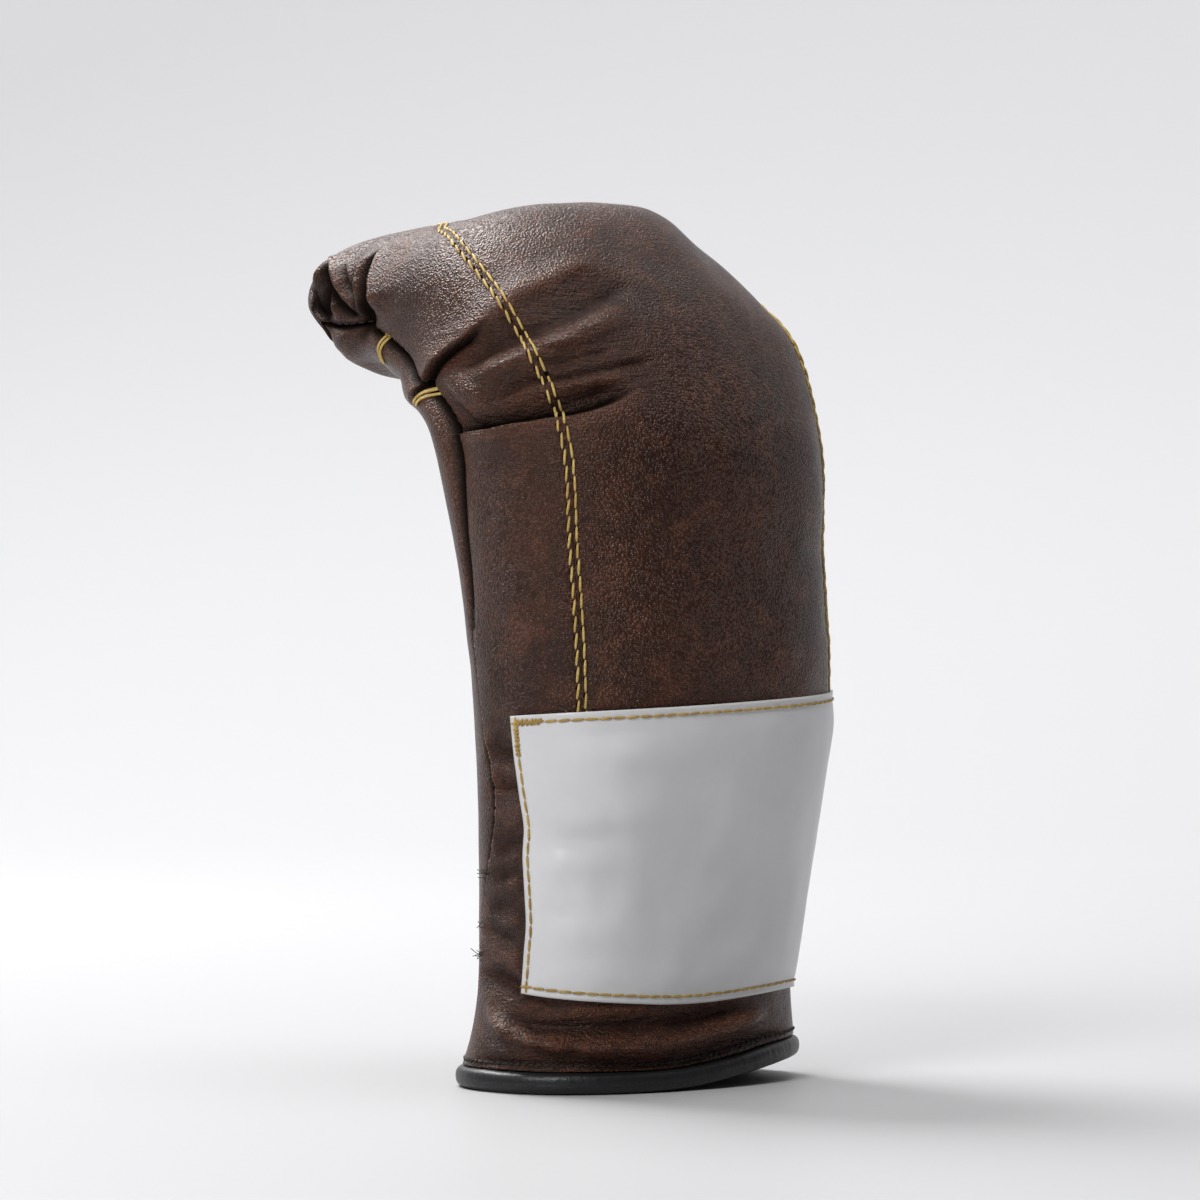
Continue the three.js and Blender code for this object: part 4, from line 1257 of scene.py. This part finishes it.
def label_stitching(label_grid):
    """One mustard row round the label and a dense tack at its upper near corner."""
    up_edge, across_edge = LABEL_INSET / LABEL_HEIGHT, 2 * LABEL_INSET / LABEL_WIDTH
    count = 160
    run = np.linspace(0, 1, count)
    lowest, highest = np.full(count, up_edge), np.full(count, 1 - up_edge)
    near, far = np.full(count, across_edge - 1), np.full(count, 1 - across_edge)
    sides = (
        (lowest, near + (far - near) * run), (highest, near + (far - near) * run),
        (lowest + (highest - lowest) * run, near), (lowest + (highest - lowest) * run, far),
    )
    paths, outs = [], []
    for up, across in sides:
        path, out = on_label(label_grid, up, across, 0.05)
        paths.append(path)
        outs.append(out)
    stitch_rows("label_stitching", paths, outs, mustard_thread, "thread", pitch=3.7, length=3.75,
                thickness=LABEL_THREAD, rise=0.16, slant=0.03, wander=0.05, seed=3)
    marks, tack_end, tack_lift = 40, 0.86, 0.12
    tack_up, tack_across = np.full(marks, 1 - up_edge), np.full(marks, across_edge - 1)
    down_run = np.linspace(1 - up_edge, tack_end, marks)
    across_run = np.linspace(across_edge - 1, across_edge - tack_end, marks)
    down, _ = on_label(label_grid, down_run, tack_across, tack_lift)
    across_top, _ = on_label(label_grid, tack_up, across_run, tack_lift)
    tack_outs = skin_normal(0.3, np.full(marks, -80.0))
    stitch_rows("label_tack", [down, across_top], [tack_outs, tack_outs], mustard_thread, "thread",
                pitch=0.8, length=2.2, thickness=0.62, rise=0.3, slant=1.2, wander=0.5, seed=12)


def on_label(grid, up, across, lift):
    """Points on the label's face at shares up and across it, and the outward directions there."""
    rows, columns = grid["at"].shape
    row, col = up * (rows - 1), (across + 1) / 2 * (columns - 1)
    at, angle, label_lift = (between(grid[name], row, col) for name in ("at", "angle", "lift"))
    return skin(at, angle, label_lift + LABEL_THICKNESS + lift), skin_normal(at, angle)


# Bar tacks: share along the glove of each, and its threads' places from there
BAR_TACKS = (
    (0.829, (-0.005, -0.0035, 0.0016, 0.003)),
    (0.679, (-0.0075, -0.006, 0.0016, 0.003, 0.0052)),
)


def bar_tacks():
    """Threads wound across the welt in two places on each side."""
    spread = np.linspace(-1.5, 10.0, 22)
    bend = spread / 10
    paths = []
    for side in (-1, 1):
        for middle, offsets in BAR_TACKS:
            for offset in offsets:
                at = middle + offset + 0.009 * bend - 0.013 * bend**3
                angle = side * (column(SECTIONS, "palmSeam", at) + spread)
                paths.append(on_skin(at, angle, 0.3)[0])
    return own(tubes("bar_tacks", paths, TACK_RADIUS, gold_thread), "thread")


def palm_seam_stitching():
    """Dark small stitches down in the palm seams, and along the top of the binding."""
    rows = [seam_path("palmSeam", side, -0.7, RAW_UNTIL, 0.93, 0.15) for side in (-1, 1)]
    stitch_rows("palm_seam_stitching", [row[0] for row in rows], [row[1] for row in rows], dark_thread,
                "thread", pitch=3.2, length=2.4, thickness=0.5, rise=0.1, slant=0.0, wander=0.06, seed=17)
    ring = np.linspace(-179.5, 179.5, 500)
    path, outs = on_skin(np.full(len(ring), RIM_AT + 0.006), ring, 0.0)
    stitch_rows("binding_stitching", [path], [outs], dark_thread, "thread", pitch=2.2, length=2.0,
                thickness=0.8, rise=0.1, slant=0.1, wander=0.3, seed=23)


def thumb_axis(at):
    points = [THUMB_ROOT[k] + column(THUMB_PATH, name, at) * THUMB_RISE
              for k, name in enumerate(("out", "across", "up"))]
    return np.stack(points, -1)


def thumb_point(at, angle, wall=0.0, raised=0.0):
    """Point on the thumb stall's skin, or inside it by a wall."""
    last = 1 - wall / THUMB_RISE
    nudge = 0.01
    ahead = thumb_axis(np.minimum(at + nudge, 1)) - thumb_axis(np.minimum(at + nudge, 1) - 2 * nudge)
    ahead /= np.linalg.norm(ahead, axis=-1, keepdims=True)
    side = np.cross((0.0, 1.0, 0.0), ahead)
    side /= np.linalg.norm(side, axis=-1, keepdims=True)
    across = np.cross(ahead, side)
    end = round_off(at, last - THUMB_TIP, last)
    radius = (column(THUMB_PATH, "round", at) * THUMB_RADIUS - wall) * end + raised * end
    turnings = np.radians(angle)
    return (thumb_axis(at) + side * (radius * np.cos(turnings))[..., None]
            + across * (radius * np.sin(turnings))[..., None])


# Creases across the thumb: share of its length, depth and width
THUMB_CREASES = (
    (0.42, 1.5, 4.0),
    (0.62, 1.1, 3.2),
    (0.74, 0.8, 2.6),
)


def thumb_stall(palm):
    """Padded thumb with a welted seam over its tip, closed against the palm."""
    rings, sides = 120, 96
    angle = np.linspace(0, 360, sides, endpoint=False)
    bodies = [palm, bpy.data.objects["far_gusset_skin"]]
    trees = [BVHTree.FromPolygons([v.co for v in o.data.vertices], [p.vertices for p in o.data.polygons])
             for o in bodies]
    probe = np.linspace(1.0, 0.0, 160)
    starts = []
    for turning in angle:
        line = in_frame(thumb_point(probe, np.full(len(probe), turning)))
        starts.append(first_hit(trees, line, probe))
    starts = np.array(starts)
    starts = (np.roll(starts, 1) + 2 * starts + np.roll(starts, -1)) / 4
    share = np.sin(np.linspace(0, math.pi / 2, rings))
    at = starts[None, :] + (1 - starts[None, :]) * share[:, None]
    turned = np.broadcast_to(angle, at.shape)
    along = at * THUMB_RISE
    around = np.radians(turned) * THUMB_RADIUS
    seam = sum(np.exp(-((turn(turned, middle) / 5.0) ** 2)) for middle in (90, -90))
    creases = np.zeros(at.shape)
    bent_side = 0.5 + 0.5 * np.cos(np.radians(turned - 160))
    for middle, depth, width in THUMB_CREASES:
        creases += depth * bent_side * np.exp(-(((at - middle) * THUMB_RISE / width) ** 2))
    root = np.exp(-((at - starts) * THUMB_RISE / 2.2))
    wavy = 0.4 * noise(around / 14, along / 14, 41) + 0.2 * noise(around / 6, along / 3, 42)
    relief = wavy - creases - 0.9 * seam - 1.0 * root
    outer = thumb_point(at, turned, 0.0, relief)
    inner_at = starts[None, :] + (1 - LEATHER / THUMB_RISE - starts[None, :]) * share[:, None]
    inner = thumb_point(inner_at, turned, LEATHER)
    points = np.concatenate([outer.reshape(-1, 3), inner.reshape(-1, 3)])
    index = np.arange(rings * sides).reshape(rings, sides)
    under = index + rings * sides
    root_ring = np.stack([index[0], under[0], np.roll(under[0], -1), np.roll(index[0], -1)], -1)
    faces = np.concatenate([ring_quads(index), ring_quads(under)[:, [0, 3, 2, 1]], root_ring])
    zero = np.zeros(points.shape[0])
    both = lambda field: np.concatenate([field.ravel()] * 2)
    flow = np.stack([both(around), both(along), zero], -1)
    fields = {
        # Painted shade where the thumb meets the palm and along its seam; ridges rubbed lighter, hollows
        # darker and shaded as on the panels
        "wear_and_hollow_shade": both(np.clip(relief / 1.2 + 0.1, -1, 1)), "painted_shade": both(0.8 * root + 0.7 * seam**6),
        "gather": both(0.4 + 0 * at), "raw": zero, "flow": flow,
        "seam": np.stack([zero, zero + 99, zero], -1), "inside": np.repeat([0.0, 1.0], rings * sides),
    }
    piece = make_piece("thumb_stall_skin", points, faces, palm_leather, fields)
    close_poles(piece)
    return own(piece, "palm_leather", "thumb_stall")


def first_hit(trees, line, probe):
    """Share along a line where it first meets one of the bodies."""
    for k in range(len(line) - 1):
        start, step = Vector(line[k]), Vector(line[k + 1] - line[k])
        for tree in trees:
            place_hit, _, _, gap = tree.ray_cast(start, step.normalized(), step.length)
            if place_hit is not None:
                return probe[k] + (probe[k + 1] - probe[k]) * gap / step.length
    return probe[-1]


def close_poles(piece):
    """Joins the points that meet at a round end."""
    work = bmesh.new()
    work.from_mesh(piece.data)
    bmesh.ops.remove_doubles(work, verts=work.verts, dist=1e-6)
    work.to_mesh(piece.data)
    work.free()


# Tufts of frayed thread: share along the glove, and number of threads
FRAYED_TUFTS = (
    (0.205, 9),
    (0.135, 11),
    (0.162, 4),
)


def frayed_threads():
    """Loose ends of thread at the cut edge of the near gusset."""
    rng = np.random.default_rng(77)
    paths = []
    for at, count in FRAYED_TUFTS:
        for _ in range(count):
            spread = np.linspace(0, 1, 9)
            place_at = at + rng.uniform(-0.006, 0.006)
            angle = -column(SECTIONS, "palmSeam", place_at) - rng.uniform(-1.5, 2.5)
            base, normal = on_skin(np.array([place_at]), np.array([float(angle)]), 0.1)
            lean = rng.normal(0, 1, 3) * (0.7, 0.7, 0.9)
            curl = rng.normal(0, 1, 3)
            reach = rng.uniform(1.0, 2.8)
            path = (base + spread[:, None] * reach * (normal * 0.5 + lean * 0.6)
                    + (spread**2)[:, None] * curl * 0.8)
            paths.append(path)
    return own(tubes("frayed_threads", paths, FRAYED_RADIUS, dark_thread, 5), "thread")


# The camera stands level with the middle of the picture. Its aim is beside the glove's axis.
CAMERA_AZIMUTH = math.radians(48)
CAMERA_DISTANCE = 1.5
CAMERA_HEIGHT = 0.135
AIM_ACROSS = -0.009
LENS = 160.2
FORWARD = Vector((-math.sin(CAMERA_AZIMUTH), math.cos(CAMERA_AZIMUTH), 0))
RIGHT = Vector((math.cos(CAMERA_AZIMUTH), math.sin(CAMERA_AZIMUTH), 0))

# Floor, in metres, which bends up into the backdrop
FLOOR_NEAR = -2.5
FLOOR_FAR = 1.2
BACKDROP_BEND = 1.2
BACKDROP_TOP = 5.0
BACKDROP_HALF = 5.0
FLOOR_COLOUR = (0.5, 0.5, 0.508, 1)
BACKDROP_GLOW = (0.53, 0.53, 0.54)

# Lights: to the right of the glove, towards the camera and above it, size, and power in watts
LIGHTS = (
    ("back left", -0.6, -0.7, 1.15, 0.8, 27),
    ("front left", -0.55, 1.05, 0.95, 0.6, 13),
    ("overhead", 0.15, 0.0, 1.35, 1.0, 8),
    ("left", -1.3, 0.3, 0.5, 0.5, 0.8),
)
LIGHTS_AIM = Vector((0.0, 0.0, 0.13))
WORLD_COLOUR = (0.93, 0.935, 0.95, 1)
WORLD_STRENGTH = 0.07


def studio_floor():
    """Pale floor that curves up into a backdrop, which glows a little towards its top."""
    made, nodes = material("pale floor")
    x, y, z = nodes.parts(nodes.add("ShaderNodeTexCoord", output="Object"))
    behind = x * FORWARD.x + y * FORWARD.y + z
    glow = nodes.mix(behind.ramp(0.0, 2.2), (0.0, 0.0, 0.0), BACKDROP_GLOW)
    nodes.surface(Base_Color=FLOOR_COLOUR, Roughness=0.5, IOR=1.3, Emission_Color=glow,
                  Emission_Strength=1.0)
    profile = [(FLOOR_NEAR, 0.0), (FLOOR_FAR, 0.0)]
    for t in np.linspace(0.08, math.pi / 2, 20):
        profile.append((FLOOR_FAR + BACKDROP_BEND * math.sin(t), BACKDROP_BEND * (1 - math.cos(t))))
    profile.append((FLOOR_FAR + BACKDROP_BEND, BACKDROP_TOP))
    points = [FORWARD * reach + RIGHT * side + Vector((0, 0, height))
              for reach, height in profile for side in (-BACKDROP_HALF, BACKDROP_HALF)]
    faces = [(2 * k, 2 * k + 1, 2 * k + 3, 2 * k + 2) for k in range(len(profile) - 1)]
    mesh = bpy.data.meshes.new("studio floor")
    mesh.from_pydata([tuple(point) for point in points], [], faces)
    mesh.materials.append(made)
    mesh.polygons.foreach_set("use_smooth", [True] * len(faces))
    put("studio_floor", mesh)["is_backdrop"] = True


def lights():
    """Soft round lights and a faint even light from all round."""
    for name, across, ahead, up, size, power in LIGHTS:
        spot = LIGHTS_AIM + RIGHT * across - FORWARD * ahead + Vector((0, 0, up))
        data = bpy.data.lights.new(name, "AREA")
        data.shape, data.size, data.energy = "DISK", size, power
        lamp = put(name, data)
        lamp.location = spot
        lamp.rotation_euler = (LIGHTS_AIM - spot).to_track_quat("-Z", "Y").to_euler()

    world = bpy.data.worlds.new("studio")
    world.use_nodes = True
    sky = world.node_tree.nodes["Background"].inputs
    sky["Color"].default_value, sky["Strength"].default_value = WORLD_COLOUR, WORLD_STRENGTH
    bpy.context.scene.world = world
    bpy.context.scene.view_settings.view_transform = "Standard"


def camera():
    """The photo's camera, level and from the little-finger side of the back."""
    data = bpy.data.cameras.new("camera")
    data.lens, data.sensor_width = LENS, 36
    made = put("camera", data)
    aim = Vector(SHIFT) + RIGHT * AIM_ACROSS + Vector((0, 0, CAMERA_HEIGHT))
    made.location = aim - FORWARD * CAMERA_DISTANCE
    made.rotation_euler = FORWARD.to_track_quat("-Z", "Y").to_euler()
    bpy.context.scene.camera = made


camera()
panels = {name: panel(name) for name in PANELS}
label_piece, label_grid = label()
binding()
thumb_stall(panels["palm_panel"])
double_rows()
label_stitching(label_grid)
palm_seam_stitching()
bar_tacks()
frayed_threads()
studio_floor()
lights()

[list(corner) for corner in cad_box]
[list(corner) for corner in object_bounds()]
